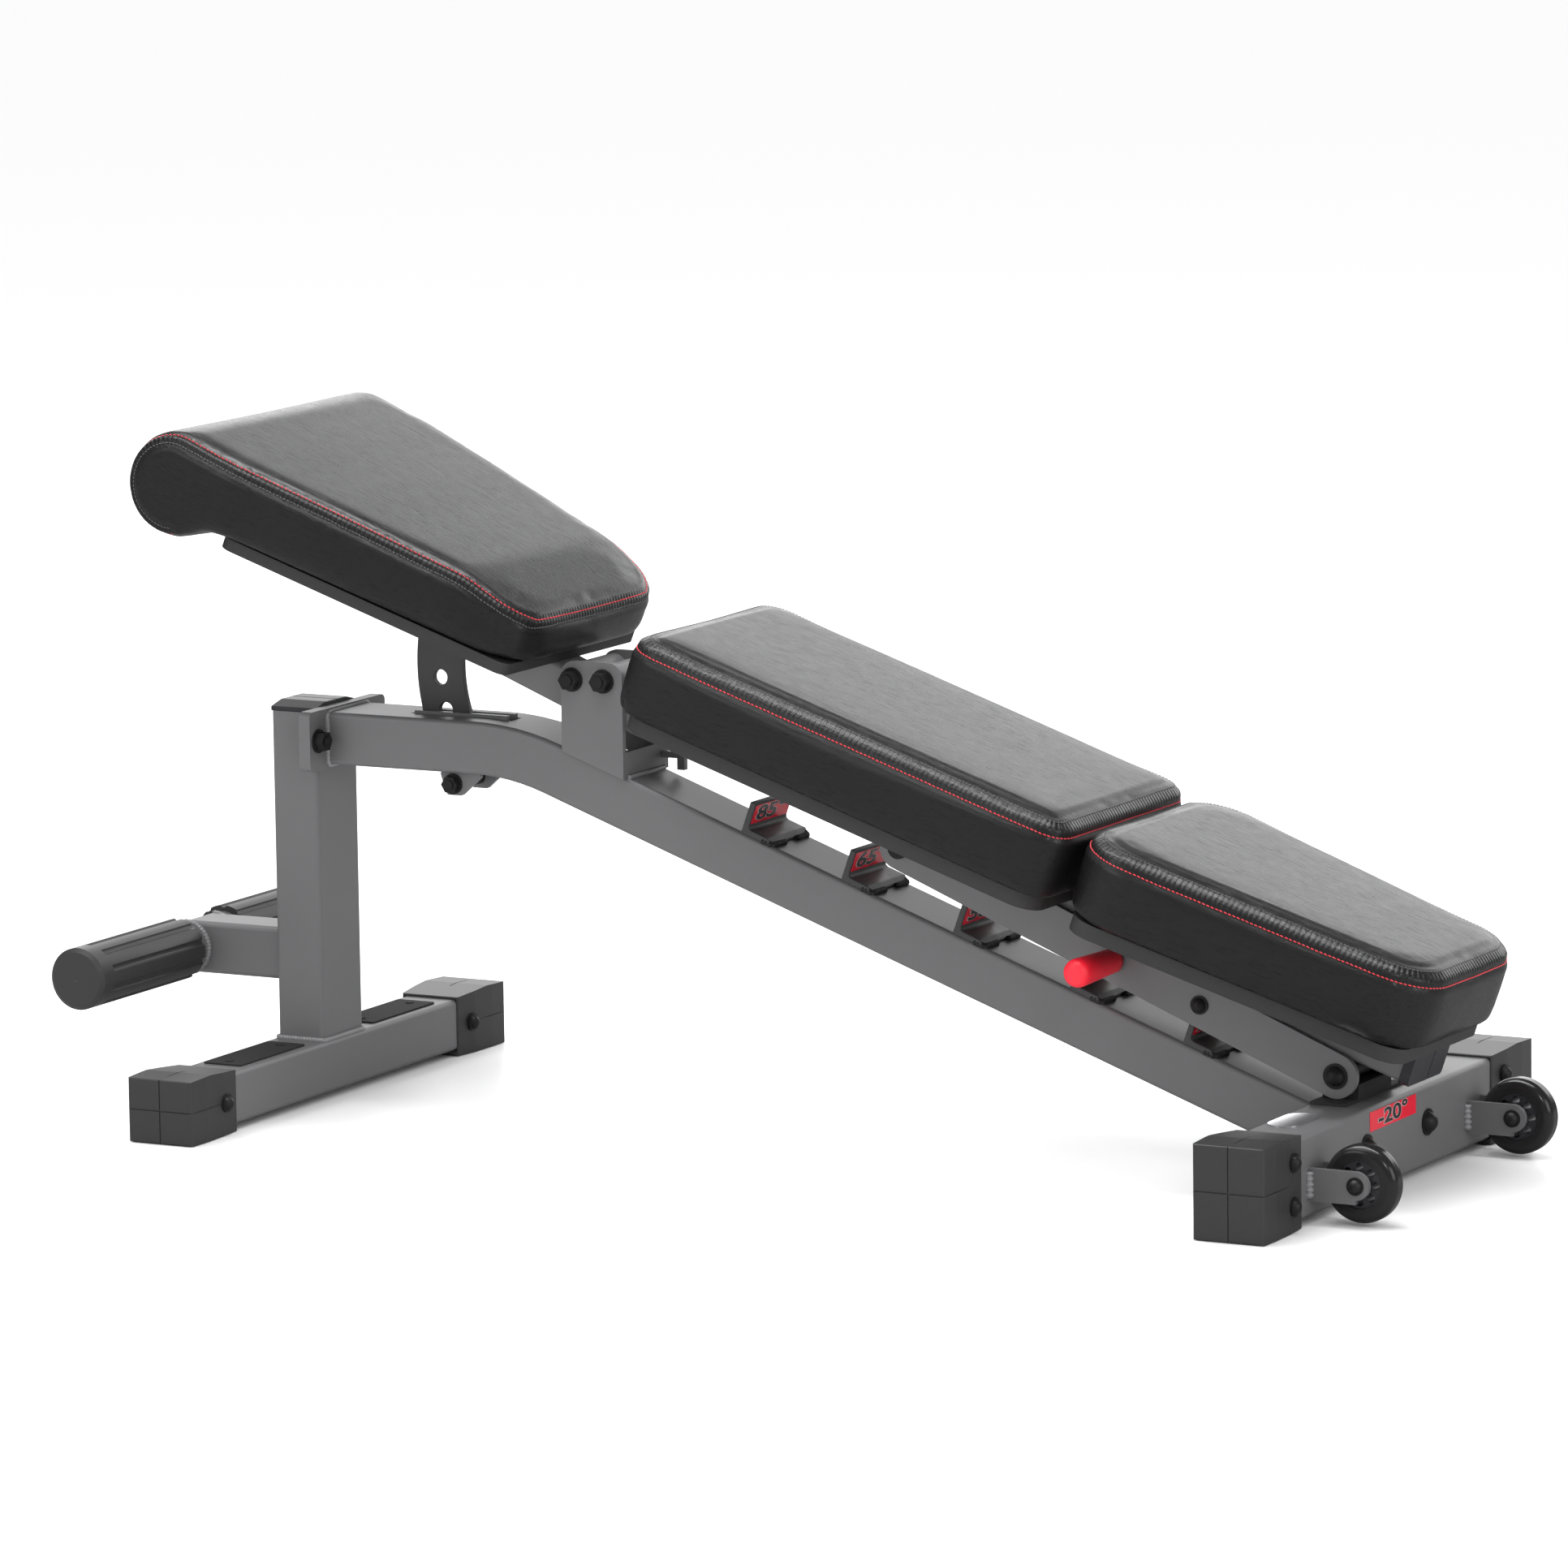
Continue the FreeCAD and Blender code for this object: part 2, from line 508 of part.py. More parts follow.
def tower():
    """The two plates that carry the seat and backrest pivots, the brace between them and the bolts."""
    low = "tower_low - tower_length * tan(slope)"
    outline = [("0", "-tower_low"), ("tower_length", f"-({low})"), ("tower_length", "-tower_top"),
               ("0", "-tower_top")]
    shoulder = "-(tower_top - tower_round)"
    lower = [*outline[:2], ("tower_length", shoulder), ("0", shoulder)]
    for side, sign in SIDES:
        start = "beam_width / 2" if sign > 0 else "-beam_width / 2 - plate_thick"
        crown = plate(outline, "plate_thick", "floor", "tower_x", start, "0", "Y", "tower_round")
        skirt = plate(lower, "plate_thick", "floor", "tower_x", start, "0", "Y")
        flat = fuse(crown, skirt)
        holes = [rod("floor", x, "-beam_width", "pivot_z", "pivot_pin", "2 * beam_width")
                 for x in ("seat_pivot_x", "back_pivot_x")]
        node(cut(flat, *holes), f"tower_plate_{side}")
    edge = "tower_x + tower_length"
    top = f"beam_z - ({edge} - bend_x) * tan(slope) + beam_depth / 2 / cos(slope)"
    cross = box("floor", f"{edge} - brace_thick", "-beam_width / 2", f"{top} + brace_gap", "brace_thick",
                "beam_width", "brace_height")
    hook_y = "beam_width / 2 - brace_thick"
    hook = fuse(box("floor", edge, hook_y, f"{top} + hook_height - 2", "hook_reach", "brace_thick",
                    "brace_thick"),
                box("floor", f"{edge} + hook_reach - hook_lip + 1", hook_y, f"{top} - 1", "hook_lip",
                    "brace_thick", "hook_height"))
    node(fuse(cross, hook), "tower_brace")
    screws = []
    for x in ("seat_pivot_x", "back_pivot_x"):
        screws.append(rod("floor", x, "-beam_width / 2 - plate_thick", "pivot_z", "pivot_pin",
                          "beam_width + 2 * plate_thick"))
        screws.append(lock_nut("floor", x, "-beam_width / 2 - plate_thick", "pivot_z", "-Y"))
        screws.append(bolt("floor", x, "beam_width / 2 + plate_thick", "pivot_z", "9", "Y", "1"))
    node(group(*screws), "pivot_bolts")


def catches():
    """The ladder of L-shaped catches on the beam, with an angle label on each upright."""
    labels = []
    top = "beam_depth / 2"
    for angle, distance in CATCHES.items():
        profile = [("0", "0"), ("catch_foot", "0"), ("catch_foot", "2"), ("catch_foot - 5", "catch_thick"),
                   ("catch_thick + 4", "catch_thick"), ("catch_thick + 1", "catch_thick + 1"),
                   ("catch_thick", "catch_thick + 4"), ("catch_thick", "catch_height"), ("0", "catch_height")]
        flipped = [(x, f"-({y})") for x, y in profile]
        node(plate(flipped, "catch_width", "ramp", f"{distance}", "-catch_width / 2", top, "Y"),
             f"catch_{angle}")
        labels.append(box("ramp", f"{distance} + catch_thick", "-catch_width / 2 + label_side",
                          f"{top} + catch_thick + label_low", "label_thick", "catch_width - 2 * label_side",
                          "catch_height - catch_thick - label_low - label_high"))
    labels.append(box("floor", "rear_x + base_width / 2", "decline_y", "base_width", "label_thick",
                      "decline_length", "decline_height"))
    node(group(*labels), "angle_labels")
    base_top = "foot_gap + rear_base_height"
    flange = box("floor", "rear_x - rest_inset", "-rest_width / 2", base_top, "rest_length", "rest_width",
                 "rest_thick")
    cushion = box("floor", "rear_x - rest_inset", "-rest_block / 2", f"{base_top} + rest_thick",
                  "rest_length", "rest_block", "rest_height")
    node(fuse(flange, cushion), "rear_rest")
    badge = plate(rectangle("badge_width", "badge_length"), "badge_thick", "floor", "rear_x - badge_inset",
                  "badge_y", base_top, "Z", "badge_width / 2 - 0.5")
    node(badge, "badge_plate")


def wheels():
    """Two transport wheels between fork plates that are welded to the rear base."""
    plates = []
    screws = []
    for side, sign in SIDES:
        for offset in ("-fork_gap / 2 - fork_thick", "fork_gap / 2"):
            reach = "wheel_x - rear_x - base_width / 2"
            blade = box("floor", "rear_x + base_width / 2", f"{sign} * wheel_y + {offset}",
                        "wheel_z - fork_height / 2 - 2", reach, "fork_thick", "fork_height")
            nose = rod("floor", "wheel_x", f"{sign} * wheel_y + {offset}", "wheel_z", "fork_height / 2 - 2",
                       "fork_thick")
            hole = rod("floor", "wheel_x", f"{sign} * wheel_y + {offset}", "wheel_z", "axle_radius",
                       "fork_thick")
            plates.append(cut(fuse(blade, nose), hole))
        start = f"{sign} * wheel_y - fork_gap / 2 - fork_thick"
        finish = f"{sign} * wheel_y + fork_gap / 2 + fork_thick"
        screws.append(fuse(rod("floor", "wheel_x", start, "wheel_z", "axle_radius",
                               "fork_gap + 2 * fork_thick"),
                           bolt("floor", "wheel_x", start, "wheel_z", "6.5", "-Y", "1"),
                           lock_nut("floor", "wheel_x", finish, "wheel_z", "Y", "8")))
        node(tyre(sign), f"tyre_{side}")
        node(hub(sign), f"hub_{side}")
    node(group(*plates), "wheel_forks")
    node(group(*screws), "wheel_axles")


def tyre(sign):
    """A solid tyre with a rounded tread."""
    ring = rod("floor", "wheel_x", f"{sign} * wheel_y - wheel_width / 2", "wheel_z", "wheel_radius",
               "wheel_width")
    bore = rod("floor", "wheel_x", f"{sign} * wheel_y - wheel_width / 2", "wheel_z", "hub_radius",
               "wheel_width")
    hollow = cut(ring, bore)
    doc.recompute()
    names = []
    for number, edge in enumerate(hollow.Shape.Edges, start=1):
        if edge.Curve.TypeId == "Part::GeomCircle" and edge.Curve.Radius > sheet_value("wheel_radius") - 1:
            names.append(number)
    rounding = doc.addObject("Part::Fillet", "Rounding")
    rounding.Base = hollow
    size = sheet_value("wheel_width * 0.36")
    rounding.Edges = [(number, size, size) for number in names]
    return rounding


def hub(sign):
    """A spoked plastic hub with its bearing seat and a bore that turns on the axle."""
    middle = f"{sign} * wheel_y"
    disc = rod("floor", "wheel_x", f"{middle} - wheel_width / 2 + 2", "wheel_z", "hub_radius",
               "wheel_width - 4")
    boss = rod("floor", "wheel_x", f"{middle} - wheel_width / 2 - 0.5", "wheel_z", "11", "wheel_width + 1")
    bore = rod("floor", "wheel_x", f"{middle} - wheel_width", "wheel_z", "axle_radius + pin_play",
               "2 * wheel_width")
    windows = []
    for index in range(HUB_SPOKES):
        angle = 360 / HUB_SPOKES * index
        windows.append(rod("floor", f"wheel_x + 16 * cos({angle})", f"{middle} - wheel_width",
                           f"wheel_z + 16 * sin({angle})", "3.8", "2 * wheel_width"))
    return cut(fuse(disc, boss), bore, *windows)


def backrest():
    """The backrest's tube, pivot sleeve, end cap, boards and pads."""
    tube = square_tube("back_tube_width", "back_tube_depth", "back_tube_end - back_tube_start", "back",
                       "back_tube_start", "0", "back_tube_low + back_tube_depth / 2", "X")
    pivot = rod("back", "strut_along", "-back_tube_width", "strut_up", "pivot_pin + pin_play",
                "2 * back_tube_width")
    saddle = rod("back", "0", "-back_tube_width", "0", "sleeve_radius + 0.01", "2 * back_tube_width")
    node(cut(tube, saddle, pivot), "back_tube")
    node(sleeve("back"), "back_sleeve")
    cap = plate(rectangle("back_tube_width + 1", "back_tube_depth + 1"), "end_cap_length", "back", "back_tube_end",
                "0", "back_tube_low + back_tube_depth / 2 - 0.5", "X", "4")
    groove = box("back", "back_tube_end + end_cap_length - 1", "5", "back_tube_low - 5", "4", "end_cap_groove",
                 "back_tube_depth + 10")
    node(cut(cap, groove), "back_end_cap")
    board_low = "back_tube_low + back_tube_depth"
    shapes = {"mid": ("mid_start", "mid_end", "mid_width", "mid_width"),
              "head": ("head_start", "head_end", "head_wide", "head_narrow")}
    for name, (start, end, wide, narrow) in shapes.items():
        node(panel(start, end, wide, narrow, "board_inset", "back_board_thick - 0.4", board_low),
             f"{name}_board")
        cushion = panel(start, end, wide, narrow, "0", "pad_thick", f"{board_low} + back_board_thick")
        if name == "mid":
            cushion = cut(cushion, heel_space(board_low))
        node(cushion, f"{name}_pad")
    whole = panel(*shapes["mid"], "0", "pad_thick", f"{board_low} + back_board_thick")
    node(common(whole, heel_space(board_low)), "mid_pad_heel")


def heel_space(low):
    """The space of the middle pad's lower end, whose foam gives way to the seat pad."""
    return box("back", "mid_start", "-mid_width", low, "heel_length", "2 * mid_width", "2 * pad_thick")


def panel(start, end, wide, narrow, inset, thickness, low):
    """A flat round-cornered panel on the backrest, tapering from one width to another."""
    near = f"{start} + {inset}"
    far = f"{end} - {inset}"
    outline = [(near, f"-({wide}) / 2 + {inset}"), (far, f"-({narrow}) / 2 + {inset}"),
               (far, f"({narrow}) / 2 - {inset}"), (near, f"({wide}) / 2 - {inset}")]
    return plate(outline, thickness, "back", "0", "0", low, "Z", "pad_corner")


def sleeve(frame):
    """A pivot tube that turns on its bolt between the tower plates."""
    outer = rod(frame, "0", "-sleeve_length / 2", "0", "sleeve_radius", "sleeve_length")
    bore = rod(frame, "0", "-sleeve_length / 2", "0", "pivot_pin + pin_play", "sleeve_length")
    return cut(outer, bore)


def strut():
    """The two arms that prop the backrest, joined by a spacer and a foot bar, and the red handle."""
    for side, sign in SIDES:
        start = "strut_inner" if sign > 0 else "-strut_inner - strut_thick"
        blade = box("strut", "0", start, "-strut_width / 2", "strut_length", "strut_thick", "strut_width")
        ends = [rod("strut", x, start, "0", "strut_width / 2", "strut_thick") for x in ("0", "strut_length")]
        bores = [rod("strut", "0", start, "0", "pivot_pin + pin_play", "strut_thick"),
                 rod("strut", "strut_spacer", start, "0", "5", "strut_thick"),
                 rod("strut", "strut_length", start, "0", "5", "strut_thick")]
        node(cut(fuse(blade, *ends), *bores), f"strut_arm_{side}")
    bar = rod("strut", "strut_length", "-strut_inner", "0", "foot_pin", "2 * strut_inner")
    spacer = rod("strut", "strut_spacer", "-strut_inner", "0", "6", "2 * strut_inner")
    screws = []
    for x, size in (("strut_spacer", "7"), ("strut_length", "9.5")):
        for side, sign in SIDES:
            outward = "Y" if sign > 0 else "-Y"
            screws.append(bolt("strut", x, f"{sign} * (strut_inner + strut_thick)", "0", size, outward,
                               "strut_thick"))
    node(group(bar, spacer, *screws), "strut_bars")
    handle = rod("strut", "handle_along", "-strut_inner - strut_thick - 2", "0", "6", "handle_length - 6",
                 "-Y")
    grip = rod("strut", "handle_along", "-strut_inner - strut_thick - 2", "0", "handle_radius",
               "handle_length", "-Y")
    weld = rod("strut", "handle_along", "-strut_inner - strut_thick", "0", "8", "2", "-Y")
    node(fuse(handle, weld), "handle_rod")
    core = cut(grip, rod("strut", "handle_along", "-strut_inner - strut_thick - 2", "0", "6",
                         "handle_length - 6", "-Y"))
    node(core, "handle_grip")
    pin = rod("back", "strut_along", "-strut_inner - strut_thick", "strut_up", "pivot_pin",
              "2 * (strut_inner + strut_thick)")
    heads = []
    for side, sign in SIDES:
        outward = "Y" if sign > 0 else "-Y"
        heads.append(rod("back", "strut_along", f"{sign} * (strut_inner + strut_thick + 0.4)", "strut_up",
                         "10", "5", outward))
        heads.append(rod("back", "strut_along", f"{sign} * (strut_inner + strut_thick)", "strut_up",
                         "pivot_pin", "1", outward))
    node(fuse(pin, *heads), "strut_pivot_bolt")


def seat():
    """The seat's tube, pivot sleeve, arc plate, board and pad."""
    tube = square_tube("seat_tube_width", "seat_tube_depth", "seat_tube_end - seat_tube_start", "seat",
                       "seat_tube_start", "0", "seat_tube_low + seat_tube_depth / 2", "X")
    saddle = rod("seat", "0", "-seat_tube_width", "0", "sleeve_radius + 0.01", "2 * seat_tube_width")
    node(cut(tube, saddle), "seat_tube")
    node(sleeve("seat"), "seat_sleeve")
    node(arc_plate(), "arc_plate")
    board = plate([("board_start", "-board_front_half"), ("board_end", "-board_rear_half"),
                   ("board_end", "board_rear_half"), ("board_start", "board_front_half")],
                  "board_thick - 0.4", "seat", "0", "0", "seat_board", "Z", "12")
    node(board, "seat_board")
    node(seat_cushion(), "seat_pad")


def arc_plate():
    """The curved plate under the seat with a row of lock holes on the arc of the lock pin."""
    outer = rod("seat", "0", "-arc_thick / 2", "0", "arc_radius + arc_half", "arc_thick")
    inner = rod("seat", "0", "-arc_thick / 2", "0", "arc_radius - arc_half", "arc_thick")
    ring = cut(outer, inner)
    reach = "arc_radius + 2 * arc_half"
    body = plate([("0", "0"), (f"-({reach}) * cos(arc_bottom + seat_slope)",
                               f"({reach}) * sin(arc_bottom + seat_slope)"),
                  (f"-({reach}) * 1.3 * cos(seat_slope + 20)", f"({reach}) * 1.3 * sin(seat_slope + 20)"),
                  (f"-({reach})", "-seat_tube_low")], "arc_thick", "seat", "0", "-arc_thick / 2", "0", "Y")
    holes = []
    for index in range(ARC_HOLES):
        angle = f"(pin_angle + seat_slope - {index} * hole_pitch)"
        holes.append(rod("seat", f"-arc_radius * cos{angle}", "-arc_thick", f"-arc_radius * sin{angle}",
                         "arc_hole", "2 * arc_thick"))
    tube = box("seat", "-2 * arc_radius", "-arc_thick", "seat_tube_low", "2 * arc_radius", "2 * arc_thick",
               "2 * seat_tube_depth")
    return cut(common(ring, body), tube, *holes)


def seat_cushion():
    """The seat pad: a wedge that narrows towards the backrest, with a round roll at its front."""
    side = plate([("roll_along", "-seat_pad_low"), ("seat_end", "-seat_pad_low"),
                  ("seat_end", "-seat_end_height"), ("crease_along", "-crease_up"), ("roll_along", "-(roll_up + roll_radius)")],
                 "4 * seat_half", "seat", "0", "-2 * seat_half", "0", "Y")
    corner = "seat_end - seat_corner_along"
    inner = "(seat_half - seat_corner_across)"
    plan = plate([("roll_along - roll_radius", "-roll_half"), ("roll_along + shoulder", "-roll_half + 2"),
                  (corner, "-seat_half"), ("seat_end", f"-{inner}"), ("seat_end", inner), (corner, "seat_half"),
                  ("roll_along + shoulder", "roll_half - 2"), ("roll_along - roll_radius", "roll_half")],
                 "8 * roll_radius", "seat", "0", "0", "-4 * roll_radius", "Z")
    roll = rod("seat", "roll_along", "-roll_half", "roll_up", "roll_radius", "2 * roll_half")
    return fuse(common(side, plan), roll)


def lock_pin():
    """The spring pull-pin beside the beam and the housing that guides it."""
    start = "beam_width / 2"
    outer = rod("floor", PIN_X, start, PIN_Z, "lock_radius + 4.5", "housing_length")
    bore = rod("floor", PIN_X, start, PIN_Z, "lock_radius + pin_play", "housing_length")
    node(cut(outer, bore), "lock_housing")
    shaft = rod("floor", PIN_X, "arc_thick / 2 + 0.6", PIN_Z, "lock_radius",
                f"{start} + housing_length + 14 - arc_thick / 2 - 0.6")
    node(shaft, "lock_pin")
    knob = rod("floor", PIN_X, f"{start} + housing_length + 0.6", PIN_Z, "knob_radius", "24")
    socket = rod("floor", PIN_X, f"{start} + housing_length + 0.6", PIN_Z, "lock_radius", "13.4")
    node(cut(knob, socket), "lock_knob")


def check():
    """Stop at a failed feature or at a shape that is empty or broken."""
    for item in doc.Objects:
        if "Invalid" in item.State or "Error" in item.State:
            raise RuntimeError(f"{item.Name} ({item.Label}) failed: {item.State}")
    for item in NODES:
        if item.Shape.isNull() or not item.Shape.isValid() or not item.Shape.Solids:
            raise RuntimeError(f"{item.Label} has no valid solid")


def main():
    floor_frame()
    foothold()
    main_beam()
    arc_guides()
    tower()
    catches()
    wheels()
    backrest()
    strut()
    seat()
    lock_pin()
    doc.recompute()
    check()
    os.makedirs("parts", exist_ok=True)
    for item in NODES:
        item.Shape.exportStep(f"parts/{item.Label}.step")
    print(len(NODES), "sub-parts")


main()
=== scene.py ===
from math import cos, pi, radians, sin, sqrt, tan

import bmesh
import bpy
import numpy as np
from bpy.props import FloatProperty, FloatVectorProperty, IntProperty, PointerProperty
from mathutils import Matrix, Vector
from mathutils.bvhtree import BVHTree
from mathutils.kdtree import KDTree


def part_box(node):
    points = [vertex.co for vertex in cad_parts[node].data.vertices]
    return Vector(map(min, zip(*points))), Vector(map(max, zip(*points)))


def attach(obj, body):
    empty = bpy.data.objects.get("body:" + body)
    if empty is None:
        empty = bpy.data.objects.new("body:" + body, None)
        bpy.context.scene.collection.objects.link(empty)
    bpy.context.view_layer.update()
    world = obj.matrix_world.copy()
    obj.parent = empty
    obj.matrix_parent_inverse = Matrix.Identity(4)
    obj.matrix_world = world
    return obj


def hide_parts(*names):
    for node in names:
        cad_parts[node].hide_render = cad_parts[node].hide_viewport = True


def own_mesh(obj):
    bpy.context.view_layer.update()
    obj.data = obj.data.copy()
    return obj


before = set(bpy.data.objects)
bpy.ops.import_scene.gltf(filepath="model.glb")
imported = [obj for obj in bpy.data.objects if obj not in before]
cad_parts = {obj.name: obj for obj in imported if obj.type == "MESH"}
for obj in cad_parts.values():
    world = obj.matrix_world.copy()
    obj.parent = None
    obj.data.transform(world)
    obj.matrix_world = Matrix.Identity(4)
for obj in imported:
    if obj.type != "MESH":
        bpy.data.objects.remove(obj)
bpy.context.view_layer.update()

bl_info = {
    "name": "Decline Sit-Up Bench",
    "version": (1, 0, 0),
    "blender": (4, 5, 0),
    "location": "View3D > Sidebar > Bench",
    "description": "Upholstery, welds, labels and finishes for a decline sit-up bench",
    "category": "Object",
}

MM = 0.001


def carrier(x, z, slope):
    """The matrix of a sloping member's own frame: along it, across it and up from it, in millimetres."""
    sloped = Matrix.Translation((x * MM, 0, z * MM)) @ Matrix.Rotation(radians(slope), 4, "Y")
    return sloped @ Matrix.Scale(MM, 4)


BACK_SLOPE, SEAT_SLOPE, RAMP_SLOPE = 19.0, 22.0, 20.0
BEAM_HEIGHT = 352.6
BACK = carrier(-185.9, 426.0, BACK_SLOPE)
SEAT = carrier(-219.3, 426.0, SEAT_SLOPE)
RAMP = carrier(-290.5, BEAM_HEIGHT, RAMP_SLOPE)
CATCHES = {"85": 253, "65": 365, "50": 489, "35": 617, "20": 740}
WHEEL_SIDE = 0.174

GRAIN_SCALE = (48, 520, 520)
CREASE_SCALE = (22, 130, 130)
PORE_SCALE = 900.0
PUCKER_PITCH = 0.0052
PUCKER_REACH = (0.001, 0.008)


# ---------------------------------------------------------------- settings


def colour(name, about, value):
    return FloatVectorProperty(name=name, description=about, default=value, subtype="COLOR", min=0, max=1)


def length(name, about, millimetres):
    return FloatProperty(name=name, description=about, default=millimetres * MM, unit="LENGTH")


def angle(name, about, value):
    return FloatProperty(name=name, description=about, default=value, unit="ROTATION", subtype="ANGLE")


def power(name, about, watts):
    return FloatProperty(name=name, description=about, default=watts, unit="POWER")


class BENCH_PG_finish(bpy.types.PropertyGroup):
    """The bench's colours."""

    paint: colour("Frame paint", "Grey powder coat on the steel", (0.128, 0.128, 0.131))
    vinyl: colour("Vinyl", "Black upholstery vinyl", (0.008, 0.008, 0.009))
    rubber: colour("Rubber", "Foot caps and ankle grips", (0.030, 0.031, 0.033))
    steel: colour("Black steel", "Blackened bolts and nuts", (0.012, 0.012, 0.013))
    plastic: colour("Black plastic", "End caps, knob and hubs", (0.022, 0.022, 0.024))
    red: colour("Handle red", "The red grip on the strut", (0.66, 0.010, 0.026))
    label: colour("Label red", "The angle labels", (0.60, 0.010, 0.028))
    digits: colour("Digits", "The digits on the labels", (0.020, 0.018, 0.020))
    outline: colour("Digit outline", "The line round the digits", (0.55, 0.42, 0.44))
    red_thread: colour("Red thread", "Topstitching", (0.75, 0.025, 0.040))
    grey_thread: colour("Grey thread", "Seam thread beside the top panel", (0.10, 0.10, 0.105))


class BENCH_PG_pads(bpy.types.PropertyGroup):
    """Sizes for the upholstery."""

    voxel: length("Voxel", "Mesh size of the pads before they are filled", 5.0)
    pressure: FloatProperty(name="Pressure", description="Filling pressure of the cloth", default=2.0, min=0)
    frames: IntProperty(name="Frames", description="Frames that the filling takes", default=12, min=2)
    swell: length("Swell", "The furthest that the filling moves the vinyl", 1.6)
    seam_depth: length("Seam depth", "How far a seam draws the vinyl in", 1.7)
    seam_width: length("Seam width", "Half the width of a seam's hollow", 3.0)
    stitch: length("Stitch", "Length of one stitch", 3.4)
    stitch_gap: length("Stitch gap", "Space between stitches", 1.0)
    thread: length("Thread", "Radius of the thread", 0.55)


class BENCH_PG_stage(bpy.types.PropertyGroup):
    """Camera, lights and floor."""

    camera: FloatVectorProperty(name="Camera", description="Where the camera stands", size=3,
                                default=(4.0536, -7.5978, 1.6817), subtype="TRANSLATION", unit="LENGTH")
    turn: angle("Turn", "The camera's turn about the vertical", 0.4919)
    tilt: angle("Tilt", "How far the camera looks down", 0.1553)
    roll: angle("Roll", "The camera's lean", -0.0140)
    lens: FloatProperty(name="Lens", description="Focal length in millimetres", default=213.3, min=10)
    key: power("Key", "Power of the overhead softbox", 60.0)
    back: power("Back", "Power of the panel behind the bench", 150.0)
    strip: power("Strip", "Power of the narrow strip right above the bench", 55.0)
    glint: power("Glint", "Power of the small panel past the camera's right", 17.5)
    side: power("Side", "Power of the panel at the bench's end", 35.0)
    fill: power("Fill", "Power of the panel beside the camera", 35.0)
    room: FloatProperty(name="Room", description="Brightness of the room's own light", default=0.12, min=0)


# ---------------------------------------------------------------- materials


def add(tree, kind, inputs=None, **settings):
    """A node with its settings and inputs; an input is a value or another node's socket."""
    made = tree.nodes.new(kind)
    for key, value in settings.items():
        setattr(made, key, value)
    for key, value in (inputs or {}).items():
        if isinstance(value, bpy.types.NodeSocket):
            tree.links.new(value, made.inputs[key])
        else:
            made.inputs[key].default_value = value
    return made


def blank(name, **sockets):
    """A new material's tree, its shader and the row frame's coordinates."""
    made = bpy.data.materials.new(name)
    made.use_nodes = True
    tree = made.node_tree
    shader = tree.nodes["Principled BSDF"]
    for key, value in sockets.items():
        shader.inputs[key.replace("_", " ")].default_value = value
    return tree, shader, add(tree, "ShaderNodeTexCoord").outputs["Object"]


def link_up(tree, shader, tint, rough, normal):
    """Plugs a finish's colour, roughness and normal into its shader."""
    for socket, value in (("Base Color", tint), ("Roughness", rough), ("Normal", normal)):
        tree.links.new(value, shader.inputs[socket])


def spread(tree, value, low, high, source_low=0.3, source_high=0.7):
    """A value carried from one range to another and held at its ends."""
    inputs = {"Value": value, "From Min": source_low, "From Max": source_high, "To Min": low, "To Max": high}
    return add(tree, "ShaderNodeMapRange", inputs).outputs["Result"]


def noise_of(tree, place, scale, detail=3.0, roughness=0.55, distortion=0.0):
    inputs = {"Vector": place, "Scale": scale, "Detail": detail, "Roughness": roughness,
              "Distortion": distortion}
    return add(tree, "ShaderNodeTexNoise", inputs).outputs["Fac"]


def stretched(tree, place, scale=(1, 1, 1), turn=(0, 0, 0)):
    """Coordinates scaled and turned."""
    inputs = {"Vector": place, "Rotation": turn, "Scale": scale}
    return add(tree, "ShaderNodeMapping", inputs).outputs["Vector"]


def mixed(tree, factor, first, second):
    node = add(tree, "ShaderNodeMix", data_type="RGBA")
    for socket, value in ((0, factor), (6, first), (7, second)):
        if isinstance(value, bpy.types.NodeSocket):
            tree.links.new(value, node.inputs[socket])
        else:
            node.inputs[socket].default_value = value if socket == 0 else (*value[:3], 1)
    return node.outputs[2]


def shade(colour_value, factor):
    return tuple(min(1, c * factor) for c in colour_value[:3])


def mottled(tree, noise, base, low, high):
    """A colour that drifts with a noise between two shades of its base."""
    return mixed(tree, spread(tree, noise, 0, 1), shade(base, low), shade(base, high))


def arithmetic(tree, operation, *values):
    return add(tree, "ShaderNodeMath", dict(enumerate(values)), operation=operation).outputs[0]


def bumped(tree, height, strength, distance, under=None):
    """A normal raised by a height, over another normal if one is given."""
    inputs = {"Strength": strength, "Distance": distance, "Height": height}
    if under:
        inputs["Normal"] = under
    return add(tree, "ShaderNodeBump", inputs).outputs["Normal"]


def worn_edges(tree, place, radius, low=0.86, high=0.985):
    """How rubbed a place's edges are, from 0 to 1, and the normal of its softened edges; on the rubber parts the
    rubbed edges also stand for a painted highlight.
    """
    soft = add(tree, "ShaderNodeBevel", {"Radius": radius}, samples=6).outputs["Normal"]
    flat = add(tree, "ShaderNodeNewGeometry").outputs["Normal"]
    agree = add(tree, "ShaderNodeVectorMath", {0: soft, 1: flat}, operation="DOT_PRODUCT").outputs["Value"]
    bare = spread(tree, agree, 1.0, 0.0, low, high)
    broken = spread(tree, noise_of(tree, place, 130.0, 5.0, 0.7), 0.0, 1.0, 0.42, 0.66)
    return arithmetic(tree, "MULTIPLY", bare, broken), soft


